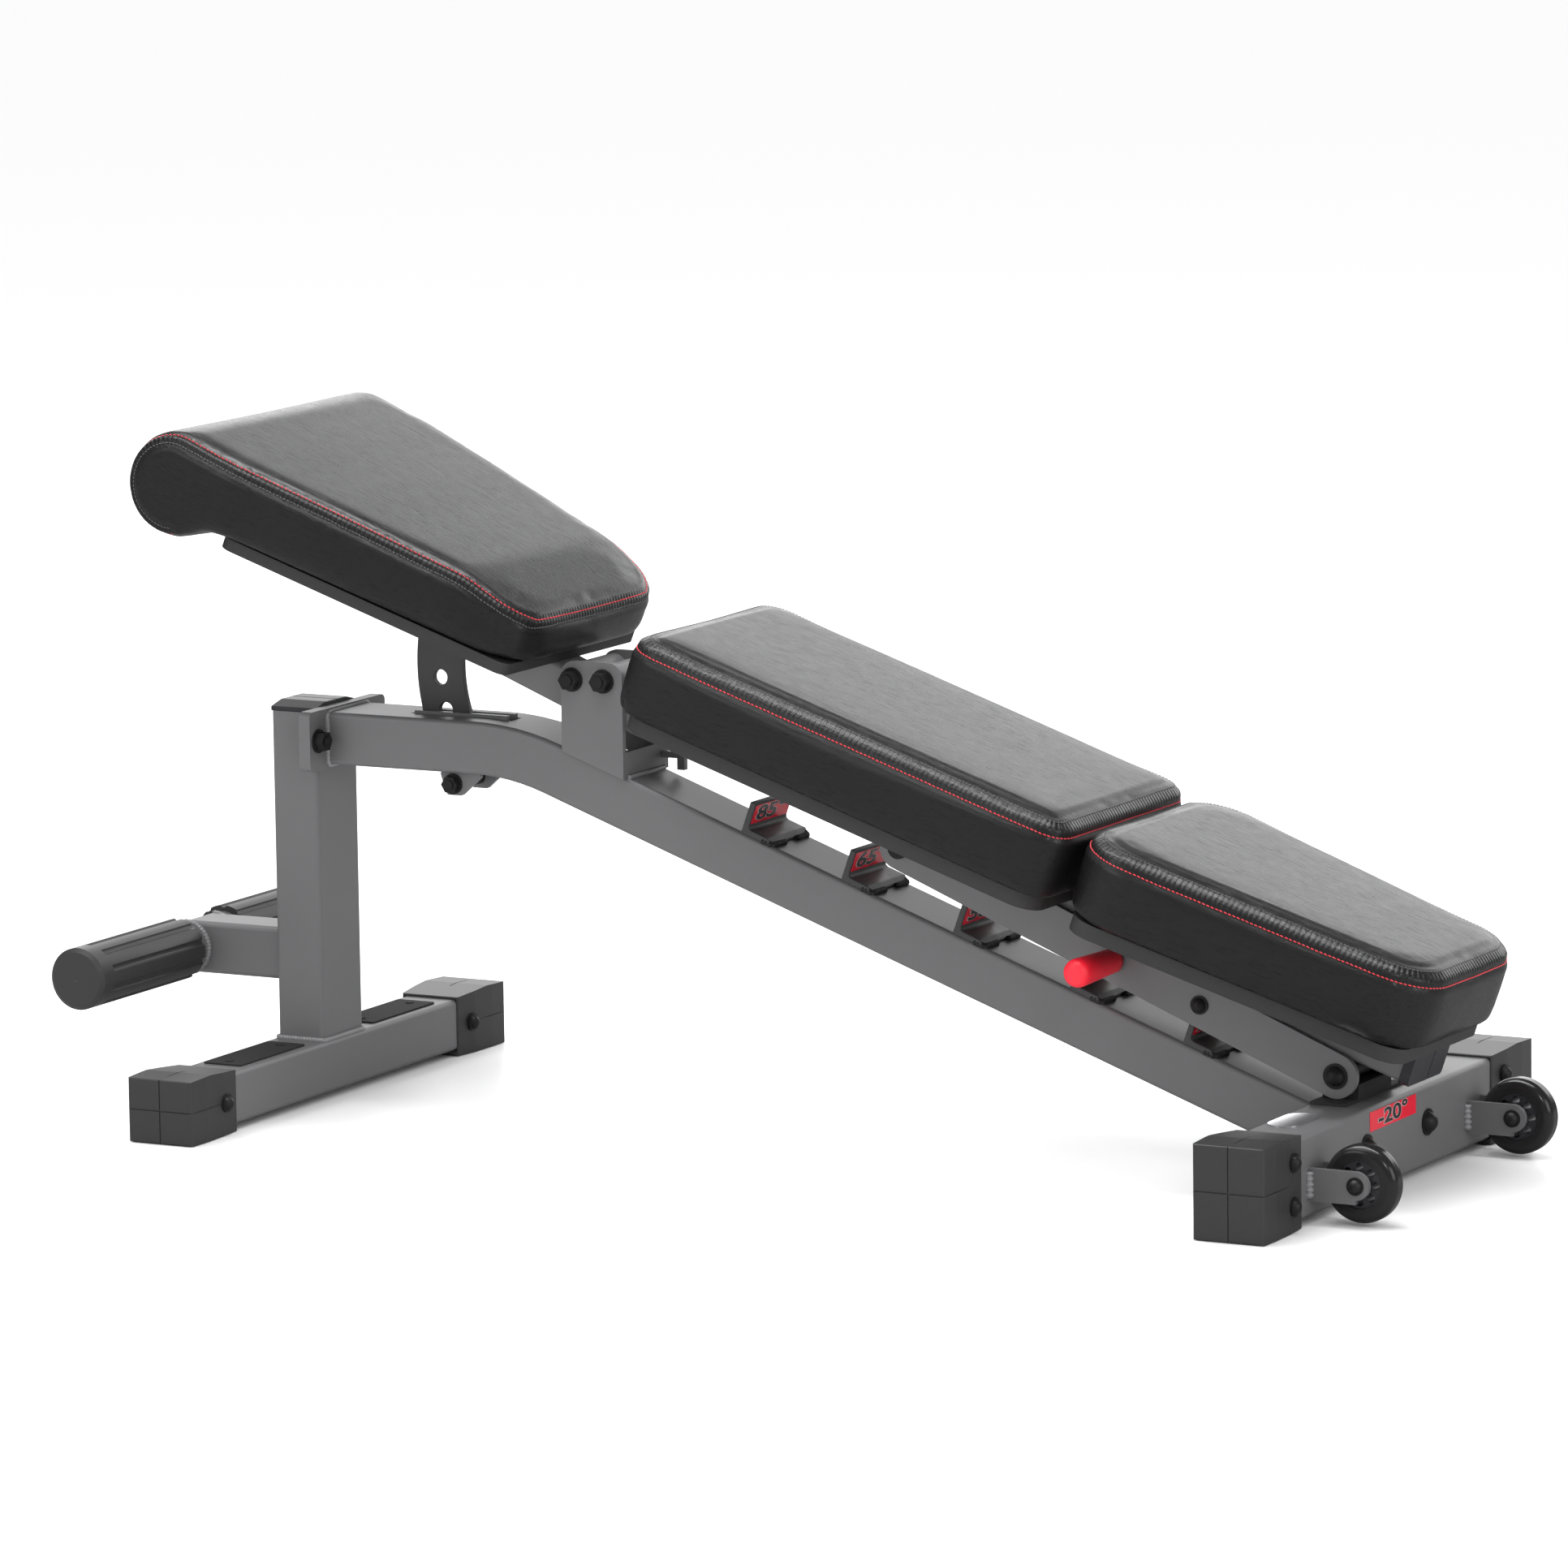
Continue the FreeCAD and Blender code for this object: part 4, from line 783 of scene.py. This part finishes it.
def seat_cushion(pads):
    """The seat pad: its sewn form across the bench, its filling, its seams and its stitching."""
    outline = evenly(seat_side(), 5.0)
    across = ((0.0, 13.0), (0.9, 8.6), (3.0, 5.0), (6.5, 2.4), (12.0, 0.8), (20.0, 0.0))
    rings = []
    for sign in (-1, 1):
        for edge, inset in (across if sign < 0 else reversed(across)):
            ring = inset_line(outline, inset)
            rings.append([Vector((p.x, sign * (seat_half_width(p.x) - edge), p.y)) for p in ring])
    vertices, faces = lofted(rings)
    piece = filled("seat_cushion", vertices, faces, SEAT, pads, lambda p: p.z < 16.5 and p.x > -340)

    def seam(edge, drop):
        """Along one side of the top, round the end and back along the other side."""
        line = evenly(seat_side(top_only=True)[:-1], 2.0, closed=False)
        line = roll_arc(ROLL_RADIUS - drop, range(290, 97, -4)) + [Vector((p.x, p.y - drop)) for p in line]
        near = [Vector((p.x, -(seat_half_width(p.x) - edge), p.y)) for p in line]
        far = [Vector((p.x, -p.y, p.z)) for p in reversed(near)]
        last = near[-1]
        shares = [k / 12 for k in range(1, 12)]
        end = [Vector((last.x + 2.0 * sin(pi * share), last.y * (1 - 2 * share), last.z)) for share in shares]
        return [SEAT @ p for p in evenly(near + end + far, 1.0, closed=False)]

    tree = surface_of(piece)
    top = on_surface(tree, seam(9.0, 0.0))[0]
    side = on_surface(tree, seam(0.0, 9.0))[0]
    draw_in(piece, ((top, 0.7), (side, 0.9)), pads.seam_depth, pads.seam_width)
    mark_seam(piece, on_surface(tree, seam(2.5, 2.5))[0])
    sewn(piece, "seat_vinyl", "seat", ("seat_pad",))
    tree = surface_of(piece)
    stitches("seat_cushion_red_stitching", tree, top, pads, "red_thread", "seat", closed=False)
    stitches("seat_cushion_grey_stitching", tree, side, pads, "grey_thread", "seat", closed=False, scale=0.85)


# ---------------------------------------------------------------- operators


class BENCH_OT_finishes(bpy.types.Operator):
    """Make the bench's finishes and put them on the carried-over parts"""

    bl_idname = "bench.finishes"
    bl_label = "Finishes"

    def execute(self, context):
        finish = context.scene.bench_finish
        make_finishes(finish)
        vinyl_finish("back_vinyl", finish.vinyl, BACK_SLOPE)
        vinyl_finish("seat_vinyl", finish.vinyl, SEAT_SLOPE)
        for name, nodes in FINISHED_NODES.items():
            for node in nodes:
                use(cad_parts[node], name)
        for node in ROUNDED_NODES:
            soften(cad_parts[node], ROUNDING)
        left = set(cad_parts).difference(PAD_NODES, *FINISHED_NODES.values())
        if left:
            raise RuntimeError(f"parts without a finish: {sorted(left)}")
        return {"FINISHED"}


class BENCH_OT_mid_pad(bpy.types.Operator):
    """Make the backrest's middle pad"""

    bl_idname = "bench.mid_pad"
    bl_label = "Middle pad"

    def execute(self, context):
        start, end, width = 52.5, 533.5, 279
        pads = context.scene.bench_pads
        stands_for = ("mid_pad", "mid_pad_heel")
        pieces = back_pad("mid_cushion", start, end, width, width, (34, 26, 26, 34), pads, stands_for)
        for piece in pieces:
            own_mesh(piece)
        return {"FINISHED"}


class BENCH_OT_head_pad(bpy.types.Operator):
    """Make the backrest's head pad"""

    bl_idname = "bench.head_pad"
    bl_label = "Head pad"

    def execute(self, context):
        start, end, wide, narrow = 539, 904.5, 289, 221
        pads = context.scene.bench_pads
        back_pad("head_cushion", start, end, wide, narrow, (56, 54, 54, 56), pads, ("head_pad",))
        return {"FINISHED"}


class BENCH_OT_seat_pad(bpy.types.Operator):
    """Make the seat pad with its round front roll"""

    bl_idname = "bench.seat_pad"
    bl_label = "Seat pad"

    def execute(self, context):
        seat_cushion(context.scene.bench_pads)
        return {"FINISHED"}


def rectangle_path(centre, first, second, half_first, half_second, radius=5.0):
    """A rounded rectangle round a centre in millimetres, as points in metres."""
    corners = [Vector((a * half_first, b * half_second)) for a, b in ((-1, -1), (1, -1), (1, 1), (-1, 1))]
    outline = round_corners(corners, [radius] * 4, 5)
    return [(Vector(centre) + Vector(first) * p.x + Vector(second) * p.y) * MM for p in outline]


def bead(path, radius, closed, pitch=3.2, wobble=0.22):
    """A laid weld bead: overlapping ripples along a path in metres."""
    line = evenly(path, 0.0007, closed)

    def swell(run):
        wave = abs(sin(pi * run / (pitch * MM)))
        drift = sin(run * 61.0) * 0.5 + sin(run * 143.0 + 1.0) * 0.5
        return radius * MM * (1 + wobble * (wave - 0.5) + 0.10 * drift)

    return swept(line, swell, closed)


def turned(profile, place, steps=40):
    """A form turned on its own first axis, from distances along it and radii."""
    turns = [2 * pi * k / steps for k in range(steps)]
    return lofted([[place @ Vector((along, radius * cos(turn), radius * sin(turn))) for turn in turns]
                   for along, radius in profile])


class BENCH_OT_handle_grip(bpy.types.Operator):
    """Make the tapered rubber grip of the strut's handle"""

    bl_idname = "bench.handle_grip"
    bl_label = "Handle grip"

    def execute(self, context):
        low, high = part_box("handle_grip")
        span = (high.y - low.y) / MM
        widest = (high.z - low.z) / 2 / MM
        profile = [(0, widest * 0.62), (0.6, widest * 0.78), (2.0, widest * 0.86)]
        profile += [(2.0 + (span - 12) * k / 8, widest * (0.84 + 0.16 * k / 8)) for k in range(1, 9)]
        turns = [radians(a) for a in range(8, 88, 8)]
        profile += [(span - 10 + 10 * sin(turn), widest * cos(turn) ** 0.62) for turn in turns]
        root = Matrix.Translation(((low.x + high.x) / 2, high.y, (low.z + high.z) / 2))
        place = root @ Matrix.Rotation(radians(-90), 4, "Z") @ Matrix.Scale(MM, 4)
        piece = to_piece("strut_handle_grip", *turned(profile, place), "red_rubber", "strut", "red_rubber")
        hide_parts("handle_grip")
        return {"FINISHED"}


ALONG, ACROSS, UPRIGHT = (1, 0, 0), (0, 1, 0), (0, 0, 1)


def middle_and_half(low, high):
    """A box's middle and half sizes, in millimetres."""
    return (low + high) / 2 / MM, (high - low) / 2 / MM


class BENCH_OT_welds(bpy.types.Operator):
    """Lay the weld beads on the frame"""

    bl_idname = "bench.welds"
    bl_label = "Welds"

    def execute(self, context):
        self.post()
        self.foothold()
        self.beam()
        self.forks()
        self.catches()
        self.brace()
        self.handle()
        return {"FINISHED"}

    def post(self):
        low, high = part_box("front_post")
        middle, half = middle_and_half(low, high)
        foot = (middle.x, 0, low.z / MM + 0.6)
        ring = rectangle_path(foot, ALONG, ACROSS, half.x + 0.6, half.y + 0.6)
        to_piece("post_weld", *bead(ring, 2.6, True), "weld_bead", "frame", "frame_paint")

    def foothold(self):
        low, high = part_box("foothold_tube")
        middle, half = middle_and_half(low, high)
        end = (high.x / MM - 0.5, 0, middle.z)
        parts = [bead(rectangle_path(end, ACROSS, UPRIGHT, half.y + 0.5, half.z + 0.5), 2.4, True)]
        bar, bar_half = middle_and_half(*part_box("foothold_crossbar"))
        reach = bar_half.x + 0.3
        for sign in (-1, 1):
            side = sign * (half.y + 1.4)
            turns = [radians(a) for a in range(-95, 96, 5)]
            arc = [Vector((bar.x + reach * cos(turn), side, bar.z + reach * sin(turn))) * MM for turn in turns]
            parts.append(bead(arc, 3.0, False))
        to_piece("foothold_weld", *joined(parts), "weld_bead", "frame", "frame_paint")

    def beam(self):
        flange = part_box("post_flange")[1]
        ring = rectangle_path((flange.x / MM + 6.4, 0, BEAM_HEIGHT), ACROSS, UPRIGHT, 38.4, 25.7)
        to_piece("beam_weld", *bead(ring, 2.4, True), "weld_bead", "frame", "frame_paint")

    def forks(self):
        parts = []
        low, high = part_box("wheel_forks")
        for sign in (-1, 1):
            for edge in (high.y, 2 * WHEEL_SIDE - high.y):
                spot = Vector((low.x + 0.0004, sign * edge, low.z + 0.003))
                parts.append(bead([spot, spot + Vector((0, 0, high.z - low.z - 0.006))], 4.0, False, 5.0, 0.4))
        to_piece("fork_weld", *joined(parts), "weld_bead", "frame", "frame_paint")

    def catches(self):
        parts = []
        corner = ((22, 35.5), (31, 35.3), (34.2, 32.9), (34.6, 11.9))
        for distance in CATCHES.values():
            for sign in (-1, 1):
                foot = [RAMP @ Vector((distance + past, sign * out, 26.6)) for past, out in corner]
                parts.append(bead(foot, 2.7, False, 3.6, 0.35))
        to_piece("catch_weld", *joined(parts), "dark_weld", "frame", "frame_paint")

    def brace(self):
        low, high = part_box("tower_brace")
        line = [Vector((low.x + 0.0065, side, low.z + 0.0008)) for side in (low.y + 0.003, high.y - 0.003)]
        to_piece("brace_weld", *bead(line, 2.6, False), "weld_bead", "frame", "frame_paint")

    def handle(self):
        low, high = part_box("handle_rod")
        centre = (low + high) / 2
        turns = [2 * pi * k / 24 for k in range(24)]
        ring = [Vector((centre.x + 0.0085 * cos(turn), high.y - 0.0008, centre.z + 0.0085 * sin(turn)))
                for turn in turns]
        to_piece("handle_weld", *bead(ring, 1.8, True), "dark_weld", "strut", "frame_paint")


def lettering(name, text, size, matrix, swell, lift):
    """Raised printed characters as a mesh."""
    curve = bpy.data.curves.new(name, "FONT")
    curve.body = text
    curve.size = size
    curve.align_x = "CENTER"
    curve.align_y = "CENTER"
    curve.offset = swell
    curve.extrude = lift
    curve.resolution_u = 4
    maker = bpy.data.objects.new(name + "_maker", curve)
    bpy.context.scene.collection.objects.link(maker)
    bpy.context.view_layer.update()
    mesh = bpy.data.meshes.new_from_object(maker.evaluated_get(bpy.context.evaluated_depsgraph_get()))
    bpy.data.objects.remove(maker)
    mesh.transform(matrix)
    return mesh


class BENCH_OT_labels(bpy.types.Operator):
    """Print the angles on the catches' labels"""

    bl_idname = "bench.labels"
    bl_label = "Angle labels"

    def execute(self, context):
        rows = []
        facing = Matrix(((0, 0, 1), (1, 0, 0), (0, 1, 0))).to_4x4()
        for angle, distance in CATCHES.items():
            centre = RAMP @ Vector((distance + 6.45, -1.0, 45.9))
            turn = Matrix.Translation(centre) @ Matrix.Rotation(radians(RAMP_SLOPE), 4, "Y") @ facing
            rows.append((f"{angle}°", 0.0205, turn, 2.0))
        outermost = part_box("angle_labels")[1].x
        base = Matrix.Translation((outermost + 0.00002, -0.0095, 0.069)) @ facing
        rows.append(("-20°", 0.0195, base, 1.95))
        layers = (("digit_outlines", 0.00100, "digit_outline", 0.00010),
                  ("digits", 0.00055, "digits", 0.00025))
        for name, swell, finish, lift in layers:
            bm = bmesh.new()
            for text, size, matrix, stretch in rows:
                mesh = lettering(name, text, size, matrix @ Matrix.Diagonal((stretch, 1, 1, 1)), swell, lift)
                bm.from_mesh(mesh)
                bpy.data.meshes.remove(mesh)
            mesh = bpy.data.meshes.new(name)
            bm.to_mesh(mesh)
            bm.free()
            piece = bpy.data.objects.new(name, mesh)
            context.scene.collection.objects.link(piece)
            use(piece, finish)
            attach(piece, "frame")
        return {"FINISHED"}


def panel_light(name, place, target, width, height, power):
    """A soft rectangular light aimed at a point."""
    lamp = bpy.data.lights.new(name, "AREA")
    lamp.shape = "RECTANGLE"
    lamp.size = width
    lamp.size_y = height
    lamp.energy = power
    holder = bpy.data.objects.new(name, lamp)
    bpy.context.scene.collection.objects.link(holder)
    holder.location = place
    holder.rotation_euler = (Vector(target) - Vector(place)).to_track_quat("-Z", "Y").to_euler()


def by_reflection(tree, seen, reflected, output):
    """Shows one shader to the camera and another to glossy reflections."""
    mirrored = add(tree, "ShaderNodeLightPath").outputs["Is Glossy Ray"]
    both = add(tree, "ShaderNodeMixShader", {0: mirrored, 1: seen.outputs[0], 2: reflected.outputs[0]})
    tree.links.new(both.outputs[0], tree.nodes[output].inputs["Surface"])


class BENCH_OT_stage(bpy.types.Operator):
    """Set up the camera, the pale floor and the studio lights"""

    bl_idname = "bench.stage"
    bl_label = "Stage"

    def execute(self, context):
        stage = context.scene.bench_stage
        self.camera(context, stage)
        self.floor(context)
        self.room(context, stage)
        middle, bench_top = (0, 0, 0.3), (0, 0, 0.6)
        panels = {
            "key": ((-0.8, -0.6, 3.4), middle, 4.0, 3.0),
            "strip": ((-0.05, -0.15, 3.1), (-0.05, -0.15, 0), 3.2, 0.45),
            "glint": ((3.2, -3.4, 2.6), middle, 0.5, 0.5),
            "back": ((-1.2, 5.2, 1.9), bench_top, 8.0, 2.6),
            "side": ((4.6, -0.8, 1.5), middle, 2.5, 2.0),
            "fill": ((-2.6, -4.8, 2.3), middle, 3.0, 2.4),
        }
        for name, (spot, target, width, height) in panels.items():
            panel_light(name, spot, target, width, height, getattr(stage, name))
        return {"FINISHED"}

    def camera(self, context, stage):
        view = bpy.data.cameras.new("camera")
        view.lens = stage.lens
        view.sensor_width = 36
        view.clip_end = 200
        camera = bpy.data.objects.new("camera", view)
        context.scene.collection.objects.link(camera)
        a, e, r = stage.turn, stage.tilt, stage.roll
        back = Vector((sin(a) * cos(e), -cos(a) * cos(e), sin(e)))
        right = Vector((cos(a), sin(a), 0))
        up = back.cross(right)
        side = right * cos(r) + up * sin(r)
        top = up * cos(r) - right * sin(r)
        turn = Matrix((side, top, back)).transposed()
        camera.matrix_world = Matrix.Translation(stage.camera) @ turn.to_4x4()
        context.scene.camera = camera

    def floor(self, context):
        """A wide disc: satin near the bench, plain further off, and dim where something reflects it."""
        bm = bmesh.new()
        bmesh.ops.create_circle(bm, cap_ends=True, segments=96, radius=60)
        mesh = bpy.data.meshes.new("floor")
        bm.to_mesh(mesh)
        bm.free()
        floor = bpy.data.objects.new("floor", mesh)
        floor.location.z = -0.0008
        context.scene.collection.objects.link(floor)
        tree, shader, place = blank("studio_floor", IOR=1.25)
        cloud = spread(tree, noise_of(tree, place, 1.3), 0, 1)
        tree.links.new(mixed(tree, cloud, (0.90, 0.90, 0.90), (0.93, 0.93, 0.93)), shader.inputs["Base Color"])
        tree.links.new(spread(tree, noise_of(tree, place, 6.0), 0.28, 0.36), shader.inputs["Roughness"])
        away = add(tree, "ShaderNodeVectorMath", {0: place}, operation="LENGTH").outputs["Value"]
        matt = add(tree, "ShaderNodeBsdfDiffuse", {"Color": (0.92, 0.92, 0.92, 1)})
        distant = spread(tree, away, 0.0, 1.0, 0.85, 1.5)
        ground = add(tree, "ShaderNodeMixShader", {0: distant, 1: shader.outputs[0], 2: matt.outputs[0]})
        dim = add(tree, "ShaderNodeBsdfDiffuse", {"Color": (0.22, 0.22, 0.22, 1)})
        by_reflection(tree, ground, dim, "Material Output")
        use(floor, "studio_floor")

    def room(self, context, stage):
        """A white room to the camera, and a dim one to whatever reflects it."""
        world = bpy.data.worlds.new("studio")
        world.use_nodes = True
        tree = world.node_tree
        sky = add(tree, "ShaderNodeBackground", {"Color": (1, 1, 1, 1), "Strength": 1.05})
        room = add(tree, "ShaderNodeBackground", {"Color": (1, 1, 1, 1), "Strength": stage.room})
        by_reflection(tree, sky, room, "World Output")
        context.scene.world = world
        context.scene.view_settings.view_transform = "Standard"


class BENCH_PT_panel(bpy.types.Panel):
    """The bench's pieces and settings in the sidebar."""

    bl_idname = "BENCH_PT_panel"
    bl_label = "Decline Sit-Up Bench"
    bl_space_type = "VIEW_3D"
    bl_region_type = "UI"
    bl_category = "Bench"

    def draw(self, context):
        for operator in OPERATORS:
            self.layout.operator(operator.bl_idname)
        for group in (context.scene.bench_finish, context.scene.bench_pads, context.scene.bench_stage):
            box = self.layout.box()
            for name in group.__annotations__:
                box.prop(group, name)


OPERATORS = (
    BENCH_OT_finishes,
    BENCH_OT_mid_pad,
    BENCH_OT_head_pad,
    BENCH_OT_seat_pad,
    BENCH_OT_handle_grip,
    BENCH_OT_welds,
    BENCH_OT_labels,
    BENCH_OT_stage,
)
GROUPS = {"bench_finish": BENCH_PG_finish, "bench_pads": BENCH_PG_pads, "bench_stage": BENCH_PG_stage}
CLASSES = (*GROUPS.values(), *OPERATORS, BENCH_PT_panel)


def register():
    for item in CLASSES:
        bpy.utils.register_class(item)
    for name, group in GROUPS.items():
        setattr(bpy.types.Scene, name, PointerProperty(type=group))


def unregister():
    for name in GROUPS:
        delattr(bpy.types.Scene, name)
    for item in reversed(CLASSES):
        bpy.utils.unregister_class(item)


def main():
    """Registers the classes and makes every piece."""
    register()
    for operator in OPERATORS:
        family, action = operator.bl_idname.split(".")
        getattr(getattr(bpy.ops, family), action)()


if __name__ == "__main__":
    main()
